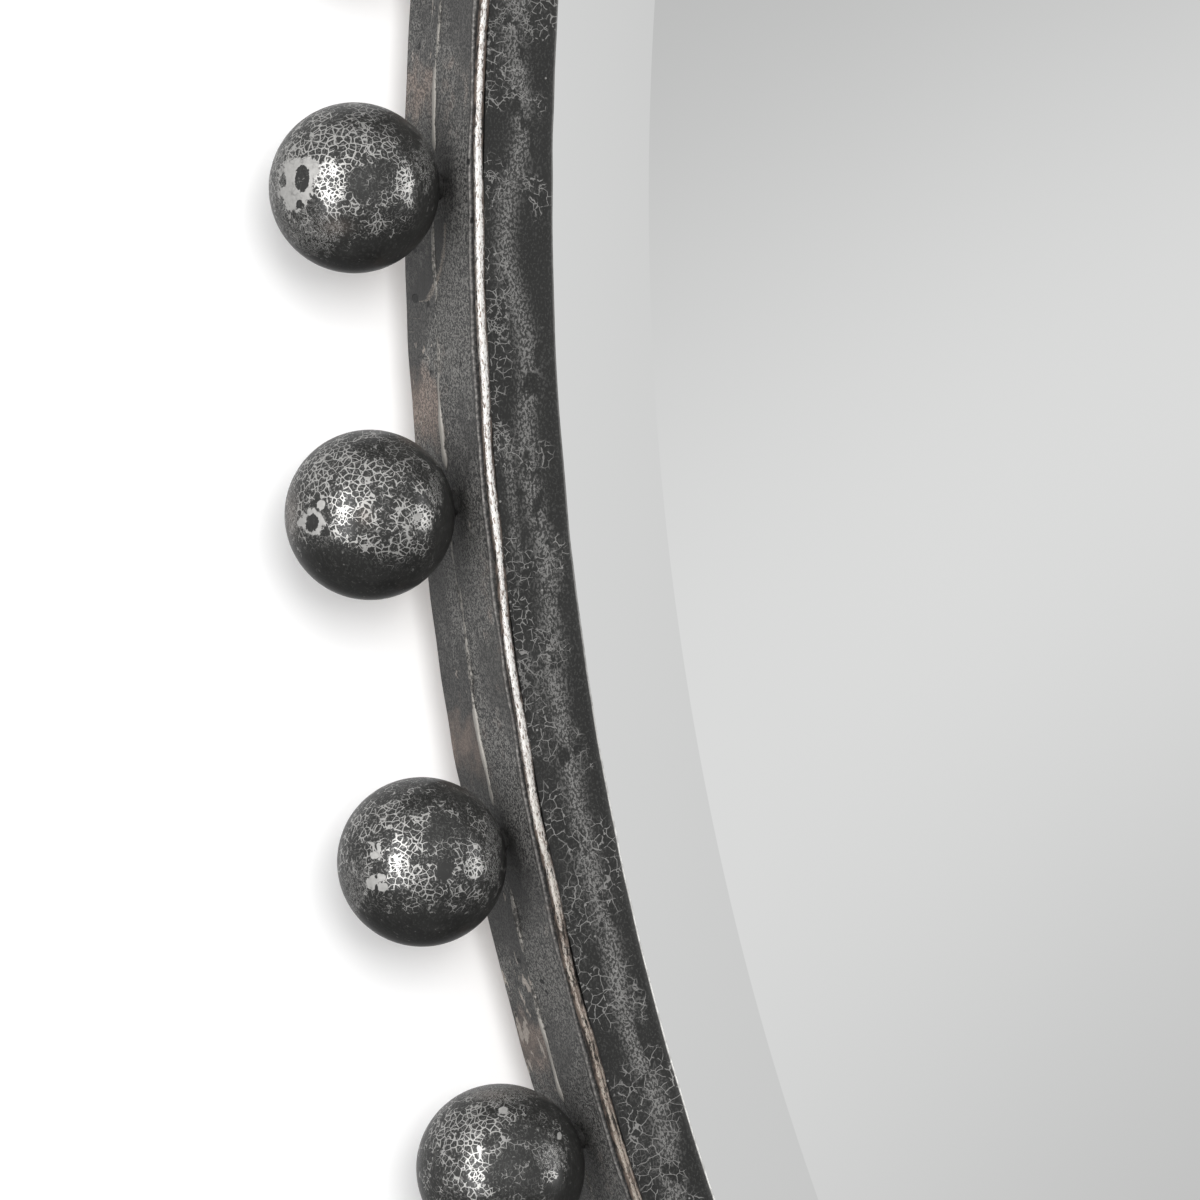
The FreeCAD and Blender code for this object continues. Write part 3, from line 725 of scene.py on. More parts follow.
def band_paint(sizes, colours):
    """Dark paint on the side band, rubbed to a fine salt-and-pepper speckle, with smooth zones left plain,
    brown heat tint above the balls, painted contact shade round their welds, a rubbed front edge and a
    few round pits."""
    finish = Finish("speckled_paint_on_band")
    wide = finish.noise(0.07, 3.0)
    middling = finish.noise(0.35, 3.0)
    speck = finish.noise(1.9, 2.0, 0.6)
    grain = finish.noise(3.6, 1.0)

    # Speckle, heat tint, the rubbed edge, pits and smears
    salt = (speck * 0.45 + grain * 0.55).step(0.475, 0.535)
    zone = (finish.field("speckle") + (middling - 0.5) * 1.3).step(0.1, 0.7)
    salt = salt * (zone * 0.7 + 0.3) * finish.field("rub").step(0.05, 0.4, 1.0, 0.1)
    patina = (finish.field("patina") + (middling - 0.5) * 1.1).step(0.25, 0.85)
    rub = (finish.field("rub") + (speck - 0.5) * 0.5).step(0.35, 0.7)
    pits = finish.cells(9.0, finish.strayed(0.9, 0.2), "F1").step(0.35, 0.62, 1.0, 0.0)
    streak = finish.noise(0.9, 3.0, 0.6, at=finish.round_ring(0.16)).step(0.3, 0.7)
    smear = finish.noise(0.50, 3.0, 0.65, at=finish.round_ring(0.45, 0.8))
    smear = (smear + finish.field("smear") * 0.1).step(0.625, 0.645, 0.0, 0.9)

    # The worn arc, with a plainer zone on its front side that is painted shadow of the first ball
    scratch = finish.field("scratch")
    shaded = scratch.step(0.2, 1.0) * scratch.step(4.0, 7.0, 1.0, 0.0)
    salt = salt * shaded.step(0.0, 1.0, 1.0, 0.25)
    scratch = abs(scratch + (speck - 0.5) * 1.6).step(0.25, 0.6, 1.0, 0.0)
    scratch = scratch * grain.step(0.42, 0.52, 0.2, 0.9)

    for place, radius in BAND_PITS:
        off = finish.vector("MULTIPLY", finish.vector("SUBTRACT", finish.place, place), (1.0, 0.5, 1.0))
        away = finish.vector("LENGTH", off)
        pits = finish.greater(pits, away.step(0.75 * radius, radius, 1.0, 0.0))

    paint = finish.shades(streak, colours.paint, 0.8, 1.8)
    violet = finish.blend(wide, (0.036, 0.032, 0.038), (0.052, 0.052, 0.048))
    paint = finish.blend(0.35, paint, violet)
    salted = finish.blend(salt, paint, finish.blend(speck, (0.12, 0.12, 0.115), (0.39, 0.38, 0.36)))
    tinted = finish.shades(salt, colours.tint, 0.7, 2.1)
    look = finish.blend(patina * 0.85, salted, tinted)
    look = finish.blend(smear, look, finish.blend(salt, (0.34, 0.30, 0.265), (0.64, 0.585, 0.53)))
    look = finish.blend(scratch, look, finish.blend(grain, (0.16, 0.12, 0.095), (0.50, 0.46, 0.41)))
    look = finish.blend(rub, look, finish.blend(speck, (0.13, 0.11, 0.095), scaled(colours.silver, 0.6)))
    # Pits, and the painted contact shade round the ball welds, both go near black
    look = finish.blend(finish.greater(pits, finish.field("painted_contact_shade")), look, (0.016, 0.016, 0.016))
    finish.shade(
        Base_Color=look,
        Metallic=finish.greater(salt * 0.35, rub * 0.5),
        Roughness=0.4 + speck * 0.2,
        Specular_IOR_Level=0.5,
    )
    finish.emboss(salt * 0.6 + pits * -4.0 + grain * 0.5, 0.05, 0.8)
    return finish.material


def bead_metal(sizes, colours):
    """The edge bead: metal bright along its crest as painted highlight, and brown and dark where it is not,
    as painted shade mixed with worn marks.
    """
    finish = Finish("rubbed_edge_bead")
    speck = finish.noise(3.4, 3.0, 0.68, at=finish.round_ring(0.30, 1.1, 1.1))
    wide = finish.noise(0.12, 2.0)
    low = finish.field("low")
    # This field is painted highlight and shade round the wire, mixed with chance grime
    grime_and_painted_light = finish.field("grime_and_painted_light") + (speck - 0.5) * 1.7
    dark = (grime_and_painted_light + (wide - 0.5) * 0.7).step(0.42, 0.62)
    patch = finish.noise(0.9, 2.0, at=finish.round_ring(0.6))
    brown = finish.blend(patch.step(0.4, 0.6), (0.13, 0.1, 0.082), (0.022, 0.018, 0.015))
    rubbed = finish.blend(low, scaled(colours.silver, 1.35), (0.52, 0.465, 0.40))
    metal = finish.blend(speck.step(0.38, 0.5), scaled(colours.tint, 1.5), rubbed)
    metal = finish.blend(speck.step(0.32, 0.39, 0.8, 0.0), metal, (0.035, 0.03, 0.027))
    finish.shade(
        Base_Color=finish.blend(dark, metal, brown),
        Metallic=dark.step(0.0, 1.0, 0.8, 0.35),
        Roughness=dark.step(0.0, 1.0, 0.45, 0.55),
    )
    finish.emboss(speck, 0.14, 0.9)
    return finish.material


def weld_metal(name, low, high, metallic):
    """Weld metal under thin worn paint."""
    finish = Finish(name)
    speck = finish.noise(1.9, 3.0, 0.6)
    wide = finish.noise(0.3, 2.0)
    worn = speck + (wide - 0.5) * 0.7
    worn = (worn + finish.field("crest") * 0.4).step(0.44, 0.66)
    finish.shade(
        Base_Color=finish.blend(worn, low, high),
        Metallic=worn * metallic,
        Roughness=worn.step(0.0, 1.0, 0.62, 0.48),
        Specular_IOR_Level=0.3,
    )
    finish.emboss(finish.noise(1.1, 3.0), 0.12, 0.7)
    return finish.material


def silvered_glass(colours):
    """Glass with silver behind it, seen as one bright surface with a trace of wiping."""
    finish = Finish("silvered_glass")
    haze = finish.noise(0.02, 3.0, at=finish.stretched(1.0, 1.0, 0.5))
    finish.shade(
        Base_Color=finish.blend(haze, scaled(colours.glass, 0.985), colours.glass),
        Metallic=1.0,
        Roughness=haze.step(0.35, 0.65, 0.0, 0.012),
    )
    return finish.material


def plated_wire(colours):
    """Zinc plating: soft spangle in the brightness, faint brushing, and dull spots."""
    finish = Finish("zinc_plating")
    spangle = finish.noise(1.4, 2.0, 0.5)
    spots = finish.noise(0.5, 3.0).step(0.55, 0.68)
    metal = finish.shades(spangle, colours.zinc, 0.78, 1.15)
    finish.shade(
        Base_Color=finish.blend(spots * 0.5, metal, (0.3, 0.3, 0.31)),
        Metallic=1.0,
        Roughness=0.24 + finish.noise(2.5, 2.0) * 0.2,
    )
    finish.emboss(finish.noise(3.0, 2.0), 0.01, 0.5)
    return finish.material


def mild_steel(colours):
    """Unpainted mild steel: rolled streaks, a blue-grey scale in clouds, and a little rust bloom."""
    finish = Finish("mild_steel")
    streak = finish.noise(0.9, 3.0, at=finish.stretched(0.12, 1.0, 1.0))
    scale = finish.noise(0.06, 3.0).step(0.42, 0.62)
    rust = finish.noise(0.22, 4.0, 0.65).step(0.62, 0.72)
    metal = finish.shades(streak, colours.steel, 0.7, 1.25)
    metal = finish.blend(scale * 0.6, metal, (0.11, 0.115, 0.13))
    finish.shade(
        Base_Color=finish.blend(rust * 0.7, metal, (0.2, 0.085, 0.035)),
        Metallic=rust.step(0.0, 1.0, 0.85, 0.1),
        Roughness=0.38 + streak * 0.2,
    )
    finish.emboss(streak + rust, 0.03, 0.5)
    return finish.material


def fibreboard(colours):
    """Hard brown fibreboard: matted fibres, darker flecks and a faint pressed mesh."""
    finish = Finish("fibreboard")
    fibres = finish.noise(0.8, 4.0, 0.7, at=finish.strayed(0.05, 6.0))
    flecks = finish.noise(1.3, 3.0, 0.6).step(0.6, 0.7)
    clouds = finish.noise(0.012, 3.0)
    threads = []
    for way in ("X", "Z"):
        wave = finish.add("ShaderNodeTexWave", wave_type="BANDS", bands_direction=way)
        finish.feed(wave.inputs["Vector"], finish.place)
        wave.inputs["Scale"].default_value = 0.16
        threads.append(finish.output(wave, "Fac"))
    mesh = finish.greater(*threads)
    base = finish.shades(fibres, colours.board, 0.62, 1.35)
    base = finish.blend(clouds * 0.35, base, scaled(colours.board, 0.75))
    finish.shade(
        Base_Color=finish.blend(flecks * 0.7, base, scaled(colours.board, 0.3)),
        Roughness=fibres.step(0.2, 0.8, 0.66, 0.88),
        Specular_IOR_Level=0.3,
    )
    finish.emboss(mesh * 0.7 + fibres, 0.1, 0.6)
    return finish.material


def coat_back(colours):
    """The grey protective paint over the silver."""
    finish = Finish("silver_coat_paint")
    clouds = finish.noise(0.03, 3.0)
    finish.shade(
        Base_Color=finish.blend(clouds, (0.18, 0.19, 0.20), (0.27, 0.28, 0.29)),
        Roughness=clouds.step(0.3, 0.7, 0.35, 0.5),
    )
    finish.emboss(finish.noise(1.5, 3.0), 0.02, 0.4)
    return finish.material


def rubber(name, shade):
    """Moulded rubber: fine matt grain, dust and a dull sheen."""
    finish = Finish(name)
    grain = finish.noise(4.0, 3.0, 0.6)
    dust = finish.noise(0.35, 3.0).step(0.5, 0.68)
    base = finish.shades(grain, shade, 0.8, 1.2)
    finish.shade(
        Base_Color=finish.blend(dust * 0.3, base, scaled(shade, 1.9)),
        Roughness=grain.step(0.3, 0.7, 0.55, 0.75),
        Specular_IOR_Level=0.4,
    )
    finish.emboss(grain, 0.03, 0.5)
    return finish.material


def dress(nodes, material):
    """Gives the finish to CAD nodes that are shown as they are."""
    for name in nodes:
        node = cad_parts[name]
        if not node.material_slots:
            node.data.materials.append(None)
        for slot in node.material_slots:
            slot.material = material


# The frame's pieces

def ring_fields(outline, count):
    """Angles down the rows, and radius and depth along the columns, as full grids."""
    return np.broadcast_arrays(turns(count)[:, None], outline[None, :, 0], outline[None, :, 1])


class ROUNDMIRROR_OT_face_ring(bpy.types.Operator):
    """Flat face ring with its broken edges, slightly out of true, under crackle paint"""

    bl_idname = "round_mirror.face_ring"
    bl_label = "Face ring"

    def execute(self, context):
        sizes = context.scene.mirror_sizes
        inner = sizes.opening_radius
        step = BEAD_LOW.y + FACE_STEP
        seat = sizes.band_outer - FACE_STEP
        corners = ((inner, FACE_LOW.y), (seat, FACE_LOW.y), (seat, step), (FACE_HIGH.x, step),
                   (FACE_HIGH.x, FACE_HIGH.y), (inner, FACE_HIGH.y))
        outline = rounded_outline(corners, np.array((0.4, 0.15, 0.1, 0.15, 0.1, 0.2)) * MM, 0.8 * MM)
        angle, radius, depth = ring_fields(outline, FACE_TURNS)
        front = smooth_step(depth, FACE_HIGH.y, FACE_LOW.y)
        wave = ripples(angle, radius, 11, 18, 0.16, 0.02, 260)
        depth_out = depth + front * 0.45 * sizes.hand_wave * (wave - 1.6) * (radius < seat)
        rim = smooth_step(radius, inner + 1.0 * MM, inner)
        radius_out = radius + rim * 0.25 * sizes.hand_wave * ripples(angle, depth, 12, 20, 0.09, 0.010, 50)
        across = (radius - inner) / (seat - inner)
        wander = 0.50 + 0.10 * ripples(angle, 0 * across, 13, 8, 0.30, 0.03, 0)
        stripe = np.exp(-((across - wander) / 0.13) ** 2)
        low_side = smooth_step(np.sin(angle), -0.08, -0.24)
        by_bead = np.exp(-((across - 0.80) / 0.07) ** 2) * (1 - low_side)
        by_bead = by_bead * smooth_step(ripples(angle, 0 * across, 15, 8, 0.20, 0.03, 0), -0.4, 0.6)
        stripe = np.maximum(stripe * (0.85 + 0.15 * low_side), 0.6 * by_bead)
        cover = 0.30 + 0.36 * low_side + 0.32 * (1 - low_side) * smooth_step(across, 0.58, 0.78)
        cover = cover + 0.16 * ripples(angle, radius, 14, 12, 0.10, 0.012, 400)
        cover = cover - 0.30 * smooth_step(across, 0.22, 0.02)
        # Inner edge: some rubbing all round, plus a painted highlight, brightest on the lower side
        rub = smooth_step(radius, inner + 0.5 * MM, inner + 0.2 * MM) * (0.30 + 0.70 * low_side)
        make_piece("face_ring_piece", ring_grid(about_ring_axis(radius_out, depth_out, angle)),
                   face_paint(sizes, context.scene.mirror_colours), ["face_ring"],
                   fields={"stripe": stripe, "cover": cover, "rub": rub, "low": low_side,
                           "along": sizes.band_outer * angle / MM})
        return {"FINISHED"}


class ROUNDMIRROR_OT_side_band(bpy.types.Operator):
    """The two hammered strips of the side band, meeting at the seam"""

    bl_idname = "round_mirror.side_band"
    bl_label = "Side band"

    def execute(self, context):
        sizes = context.scene.mirror_sizes
        paint = band_paint(sizes, context.scene.mirror_colours)
        outer = sizes.band_outer
        inner = outer - sizes.band_thickness
        # Each strip: its name, depths, free edge, corner roundings, how much that edge is rubbed, and a seed
        strips = (
            ("front_band", BAND_LOW.y, BAND_HIGH.y, BAND_LOW.y, (0.1, 0.4, 0.12, 0.1), 0.5, 21),
            ("rear_band", REAR_LOW.y, REAR_HIGH.y, REAR_HIGH.y, (0.1, 0.12, 0.4, 0.2), 0.3, 22),
        )
        for name, low, high, free_edge, roundings, rubbed, seed in strips:
            corners = ((inner, low), (outer, low), (outer, high), (inner, high))
            outline = rounded_outline(corners, np.array(roundings) * MM, 0.75 * MM)
            angle, radius, depth = ring_fields(outline, BAND_TURNS)
            outside = smooth_step(radius, inner, outer)
            wave = ripples(angle, depth, seed, 26, 0.14, 0.012, 330)
            radius_out = radius + outside * sizes.hand_wave * (0.8 * wave - 0.7)
            rub = smooth_step(np.abs(depth - free_edge), 1.0 * MM, 0.15 * MM) * outside * rubbed
            speckle = 0.62 + 0.34 * ripples(angle, depth, seed + 5, 10, 0.16, 0.025, 300)
            if name == "front_band":
                smear = np.full_like(depth, -1.0)
                patina = 0.12 + 0.15 * ripples(angle, depth, 31, 8, 0.15, 0.03, 200)
            else:
                smear = self.smears(sizes, angle, depth)
                patina = self.patina(angle, depth)
                speckle = speckle - 0.35 * smooth_step(depth, REAR_LOW.y + 3 * MM, REAR_HIGH.y - 2 * MM)
                speckle = speckle - 1.2 * np.exp(-((below_ball(sizes, angle, 2) - 13) / 6) ** 2)
            fields = {"speckle": speckle, "rub": rub, "patina": patina, "smear": smear,
                      "painted_contact_shade": self.painted_contact_shade(sizes, angle, depth), "scratch": self.scratch(sizes, angle, depth),
                      "along": sizes.band_outer * angle / MM}
            make_piece(f"{name}_piece", ring_grid(about_ring_axis(radius_out, depth, angle)), paint, [name],
                       fields=fields)
        return {"FINISHED"}

    def painted_contact_shade(self, sizes, angle, depth):
        """Painted contact shade round each ball's weld: 0.5 exp(-q²), with q the distance from the weld's
        middle in shares of 14 mm along the ring and 6 mm in depth."""
        nearest = ball_angle(np.round((angle - math.pi) / FULL_TURN * BALL_COUNT))
        off = (angle - nearest + math.pi) % FULL_TURN - math.pi
        away = np.hypot(off * sizes.band_outer / (14 * MM), (depth - BALL_DEPTH) / (6 * MM))
        return 0.5 * np.exp(-away ** 2)

    def smears(self, sizes, angle, depth):
        """Where light smears lie on the rear strip: the sum of 1.5 exp(-(a/w)²), with a the way from each
        and w its half length, less a half."""
        total = np.full_like(depth, -0.5)
        for ball, below, width in BAND_SMEARS:
            total = total + 1.5 * np.exp(-((below_ball(sizes, angle, ball) - below) / width) ** 2)
        return total + 0.3 * ripples(angle, depth, 35, 8, 0.2, 0.03, 0)

    def scratch(self, sizes, angle, depth):
        """Distance in millimetres from a worn arc below the first ball: with s the way below its centre,
        the arc lies at the depth -3.4 + 9 ((s - 5.5) / 12.7)². Past its ends the distance grows."""
        way = below_ball(sizes, angle, 0)
        slope = 18 * (way - 5.5) / 12.7 ** 2
        ends = smooth_step(way, 4.5, 2.5) + smooth_step(way, 17.5, 20.0)
        away = (depth / MM + 3.4 - 9 * ((way - 5.5) / 12.7) ** 2) / np.sqrt(1 + slope ** 2)
        return away + np.where(away < 0, -20, 20) * ends

    def patina(self, angle, depth):
        """Heat tint above each ball: chance times exp(-(a / 0.8)²), with a the angle in degrees from a spot
        above the ball. It fades towards the seam."""
        spots = ball_angle(np.arange(BALL_COUNT)) - np.radians(1.75)
        off = (angle[:, :1] - spots[None] + math.pi) % FULL_TURN - math.pi
        chance = np.random.default_rng(32).uniform(0.55, 1.15, BALL_COUNT)
        near = (chance * np.exp(-(off / np.radians(0.8)) ** 2)).max(1)[:, None]
        return near * smooth_step(depth, BAND_HIGH.y - 2 * MM, BAND_HIGH.y + 1.5 * MM)


class ROUNDMIRROR_OT_bead_and_seam(bpy.types.Operator):
    """Round wire along the face ring's edge, and the raised weld seam round the band"""

    bl_idname = "round_mirror.bead_and_seam"
    bl_label = "Edge bead and seam"

    def execute(self, context):
        sizes = context.scene.mirror_sizes
        colours = context.scene.mirror_colours
        self.bead(sizes, colours)
        self.seam(sizes, colours)
        return {"FINISHED"}

    def bead(self, sizes, colours):
        """A circle of wire whose centre line and thickness vary a little on the way round."""
        wire = (BEAD_HIGH.y - BEAD_LOW.y) / 2
        angle = turns(BEAD_TURNS)[:, None]
        turn = turns(16)[None, :]
        flat = 0 * angle
        thick = wire * (0.955 + 0.03 * ripples(angle, flat, 41, 20, 0.08, 0.006, 0))
        thick = np.minimum(thick, wire)
        radius = BEAD_HIGH.x - wire + 0.7 * sizes.bead_wander * ripples(angle, flat, 42, 14, 0.25, 0.02, 0)
        sink = sizes.bead_wander * (1 + 0.5 * ripples(angle, flat, 43, 14, 0.25, 0.02, 0))
        depth = BEAD_LOW.y + wire + np.clip(sink, 0, None)
        points = about_ring_axis(radius + thick * np.cos(turn), depth - thick * np.sin(turn), angle)
        points[..., 1] += BEAD_LOW.y - points[..., 1].min()
        down = smooth_step(np.sin(angle), -0.14, -0.29)
        turned = np.degrees(turn)
        # Painted highlight where lamps catch the wire; painted shade on its limbs and low on the ring
        upper_painted_highlight = np.exp(-((turned - 70) / 38) ** 2)
        lower_painted_highlight = np.exp(-((turned - 62) / 26) ** 2) + 1.1 * np.exp(-((turned - 120) / 15) ** 2)
        grime_and_painted_light = 0.70 - 0.55 * upper_painted_highlight * (1 - down) - down * (0.46 * lower_painted_highlight - 0.14)
        grime_and_painted_light = grime_and_painted_light + 0.06 * ripples(angle, flat, 44, 10, 0.12, 0.015, 0)
        fields = {"grime_and_painted_light": grime_and_painted_light, "low": down + 0 * turn, "along": radius * (angle + 0 * turn) / MM}
        make_piece("edge_bead_piece", ring_grid(points), bead_metal(sizes, colours), ["edge_bead"],
                   fields=fields)

    def seam(self, sizes, colours):
        """One low ridge between each two balls: half a lens in section, tapering to nothing at both ends."""
        balls = np.arange(BALL_COUNT)
        margin = SEAM_MARGIN / sizes.band_outer
        start = ball_angle(balls) + margin
        end = ball_angle(balls + 1) - margin
        end = end + np.where(end < start, FULL_TURN, 0)
        share = np.linspace(0, 1, 49)[None, :, None]
        angle = start[:, None, None] + (end - start)[:, None, None] * share
        turn = turns(10)[None, None, :]
        flat = 0 * angle
        ends = smooth_step(share, 0, 0.05) * smooth_step(share, 1, 0.95)
        above = smooth_step(share, 0.55, 0.72)
        tall = 0.10 + 0.12 * ripples(angle, flat, 51, 14, 0.12, 0.012, 0)
        tall = np.clip(tall + 0.27 * above, 0.01, 0.44) * MM * ends
        half = (0.58 + 0.12 * ripples(angle, flat, 52, 14, 0.05, 0.006, 0)) * MM * (0.3 + 0.7 * ends)
        middle = BAND_HIGH.y + sizes.seam_wander * ripples(angle, flat, 53, 10, 0.12, 0.02, 0)
        rise = np.where(np.sin(turn) > 0, tall * np.sin(turn), 0.35 * MM * np.sin(turn))
        points = about_ring_axis(sizes.band_outer - 0.08 * MM + rise, middle + half * np.cos(turn), angle)
        sunk = sizes.band_outer - 0.15 * MM
        caps = [about_ring_axis(sunk, middle[:, row, 0], angle[:, row, 0]) for row in (0, -1)]
        finish = weld_metal("seam_weld_metal", (0.060, 0.058, 0.055), (0.34, 0.325, 0.30), 0.35)
        crest = smooth_step(np.sin(turn), 0.1, 0.8) * (0.15 + 0.85 * above)
        crest = np.broadcast_to(crest, points.shape[:3]).reshape(BALL_COUNT, -1)
        crest = np.concatenate([crest, np.zeros((BALL_COUNT, 2))], 1)
        make_piece("seam_weld_piece", capped_shells(points, *caps), finish, ["seam_weld"],
                   fields={"crest": crest})


class ROUNDMIRROR_OT_balls(bpy.types.Operator):
    """Steel balls welded round the band, under crackle paint, each with its own marks"""

    bl_idname = "round_mirror.balls"
    bl_label = "Balls"

    def execute(self, context):
        sizes = context.scene.mirror_sizes
        paint = ball_paint(sizes, context.scene.mirror_colours)
        for first in range(0, BALL_COUNT, 2):
            rings = 96 if first < 4 else 48
            shells, fields = [], []
            for ball in (first, first + 1):
                centre = about_ring_axis(sizes.ball_circle, BALL_DEPTH, ball_angle(ball))
                ways = self.round_grid(centre, rings) - centre
                reach = sizes.ball_radius * (1 - self.dents(ball, ways))
                shells.append(centre + ways * reach[:, None])
                fields.append(self.marks(ball, ways))
            rows, columns = rings - 1, 2 * rings
            body = np.stack(shells)
            grid = body[:, :-2].reshape(2, rows, columns, 3)
            merged = {name: np.stack([field[name] for field in fields]) for name in fields[0]}
            pair = first // 2 + 1
            make_piece(f"ball_pair_{pair:02d}_piece", capped_shells(grid, body[:, -2], body[:, -1]), paint,
                       [f"ball_pair_{pair:02d}"], fields=merged)
        return {"FINISHED"}

    def round_grid(self, centre, rings):
        """Points of a unit ball about a centre: rows of latitude from the weld outwards, then its poles.
        With o the outward way and a, b two ways across it, each is sin u (cos v a + sin v b) - cos u o."""
        outward = centre * (1, 0, 1) / np.linalg.norm(centre * (1, 0, 1))
        across = np.array((0.0, 1.0, 0.0))
        third = np.cross(outward, across)
        up = (math.pi * np.arange(1, rings) / rings)[:, None, None]
        turn = turns(2 * rings)[None, :, None]
        grid = -np.cos(up) * outward + np.sin(up) * (np.cos(turn) * across + np.sin(turn) * third)
        return centre + np.concatenate([grid.reshape(-1, 3), [-outward, outward]])

    def dents(self, ball, way):
        """Shallow flats, as shares of the radius: 0.0006 (1 - m), with m the mean of three cosines along
        chance axes. They only go inwards."""
        chance = np.random.default_rng(600 + ball)
        axes = chance.normal(size=(3, 3)) * 3
        phases = chance.uniform(0, FULL_TURN, 3)
        waves = np.cos(way @ axes.T + phases)
        return 0.0012 * (1 - waves.mean(1)) / 2

    def marks(self, ball, way):
        """Fields of one ball's finish, from marks that are ellipses on the ball. With c a mark's centre and
        e, f its two ways, the distance of n is d = |((n-c)·e / width, (n-c)·f / height)|, and a soft mark
        adds its gain times exp(-d²)."""
        chance = np.random.default_rng(900 + ball)
        sweep = np.cos(way @ (chance.normal(size=(5, 3)) * 2.2).T + chance.uniform(0, FULL_TURN, 5)).mean(1)
        # Painted light: cracks stronger and more plentiful on the side facing the key lamp and camera
        painted_light = way @ np.array(-0.45 * RIGHT + 0.75 * UP - 0.48 * FORWARD)
        top = smooth_step(way @ np.array(UP), 0.50, 0.85)
        fields = {
            "silver": -1 + 0 * painted_light,
            "cover": 0.40 + 0.14 * painted_light + 0.14 * sweep,
            "strength": 0.62 + 0.40 * painted_light + 0.10 * sweep - 0.36 * top,
            "mottle": 0.05 + 0 * painted_light,
            "blush": 0 * painted_light,
            "dense": 0 * painted_light,
        }
        for kind, centre, across, up, width, height in self.placed(ball, chance):
            off = way - centre
            distance = np.hypot(off @ across / width, off @ up / height) + 4.0 * (way @ centre < 0)
            if kind == "silver":
                fields["silver"] = np.maximum(fields["silver"], 1 - distance)
            elif kind == "dense":
                fields["dense"] = np.maximum(fields["dense"], 1.3 - distance)
            elif kind == "island":
                fields["silver"] = np.minimum(fields["silver"], 1.4 * (distance - 1))
                fields["cover"] -= 1.2 * smooth_step(distance, 1.25, 0.9)
            for field, gain in MARK_GAINS.get(kind, {}).items():
                fields[field] += gain * np.exp(-distance ** 2)
        fields["strength"] = np.clip(fields["strength"], 0.30, 1)
        return {name: np.clip(values, -1, 1) for name, values in fields.items()}

    def placed(self, ball, chance):
        """The marks of one ball: listed where the camera looks, and by chance elsewhere."""
        if ball in BALL_MARKS:
            for kind, marks in BALL_MARKS[ball].items():
                for right, up, width, height in marks:
                    towards = math.sqrt(max(0.0, 1 - right ** 2 - up ** 2))
                    centre = np.array(right * RIGHT + up * UP - towards * FORWARD)
                    yield kind, centre, np.array(RIGHT), np.array(UP), width, height
            return
        for kind, count, least, most in CHANCE_MARKS:
            for _ in range(chance.integers(2, count + 1)):
                centre = chance.normal(size=3)
                centre /= np.linalg.norm(centre)
                across = np.cross(centre, chance.normal(size=3))
                across /= np.linalg.norm(across)
                up = np.cross(centre, across)
                width, height = chance.uniform(least, most, 2)
                yield kind, centre, across, up, width, height
                if kind == "silver" and chance.random() < 0.6:
                    yield "island", centre, across, up, 0.45 * width, 0.5 * height


class ROUNDMIRROR_OT_ball_welds(bpy.types.Operator):
    """The lumpy weld fillet between each ball and the band, coloured near black as painted contact shade"""

    bl_idname = "round_mirror.ball_welds"
    bl_label = "Ball welds"

    def execute(self, context):
        sizes = context.scene.mirror_sizes
        turn = turns(28)[None, None, :]
        angle = ball_angle(np.arange(BALL_COUNT))[:, None, None]
        lumps = ripples(angle, turn, 61, 12, 0.02, 0.004, 0) * np.cos(4 * turn + 9 * angle)
        across = WELD_PROFILE[None, :, 0, None] * (1 + 0.035 * lumps)
        out = sizes.band_outer + WELD_PROFILE[None, :, 1, None] * (1 + 0.1 * lumps)
        points = about_radius(out, across * np.sin(turn), BALL_DEPTH + across * np.cos(turn), angle)
        caps = [about_ring_axis(sizes.band_outer + rise, BALL_DEPTH, angle[:, 0, 0]) for rise in WELD_TIPS]
        # The near-black weld colours are painted contact shade between each ball and the band
        finish = weld_metal("ball_weld_painted_shade", (0.018, 0.018, 0.017), (0.036, 0.035, 0.034), 0.2)
        make_piece("ball_welds_piece", capped_shells(points, *caps), finish, ["ball_welds"])
        return {"FINISHED"}


class ROUNDMIRROR_OT_glazing(bpy.types.Operator):
    """Bevelled glass, and what beds and backs it"""

    bl_idname = "round_mirror.glazing"
    bl_label = "Glazing"

    def execute(self, context):
        colours = context.scene.mirror_colours
        edge = GLASS_HIGH.x
        ridge = edge - BEVEL_WIDTH
        brink = GLASS_LOW.y + BEVEL_DROP
        outline = np.array((
            (0.5 * ridge, GLASS_LOW.y), (ridge, GLASS_LOW.y), (edge - GLASS_EDGE, brink - 0.02 * MM),
            (edge, brink + 0.15 * MM), (edge, GLASS_HIGH.y - GLASS_EDGE), (edge - GLASS_EDGE, GLASS_HIGH.y),
            (0.5 * ridge, GLASS_HIGH.y),
        ))
        points = about_ring_axis(outline[:, :1], outline[:, 1:], turns(GLASS_TURNS)[None, :])[None]
        caps = [np.array([[0.0, depth, 0.0]]) for depth in (GLASS_LOW.y, GLASS_HIGH.y)]
        rows = np.repeat((0, 1, 2, 3, 4, 5, 0), GLASS_TURNS)
        make_piece("mirror_glass_piece", capped_shells(points, *caps), silvered_glass(colours),
                   ["mirror_glass"], sharp_rows=np.concatenate([rows, (0, 0)]))
        dress(["silver_coat"], coat_back(colours))
        dress(["glazing_gasket", "setting_blocks"], rubber("black_rubber", colours.rubber))
        dress(["backing_board"], fibreboard(colours))
        return {"FINISHED"}


class ROUNDMIRROR_OT_steelwork(bpy.types.Operator):
    """Tabs, tacks and plates of unpainted steel inside the band"""

    bl_idname = "round_mirror.steelwork"
    bl_label = "Steelwork behind the glass"

    def execute(self, context):
        dress(["retaining_tabs", "face_tacks", "hanger_plate_left", "hanger_plate_right", "bumper_plates"],
              mild_steel(context.scene.mirror_colours))
        welds = weld_metal("sleeve_weld_metal", (0.10, 0.09, 0.085), (0.38, 0.36, 0.34), 0.7)
        dress(["sleeve_welds"], welds)
        return {"FINISHED"}


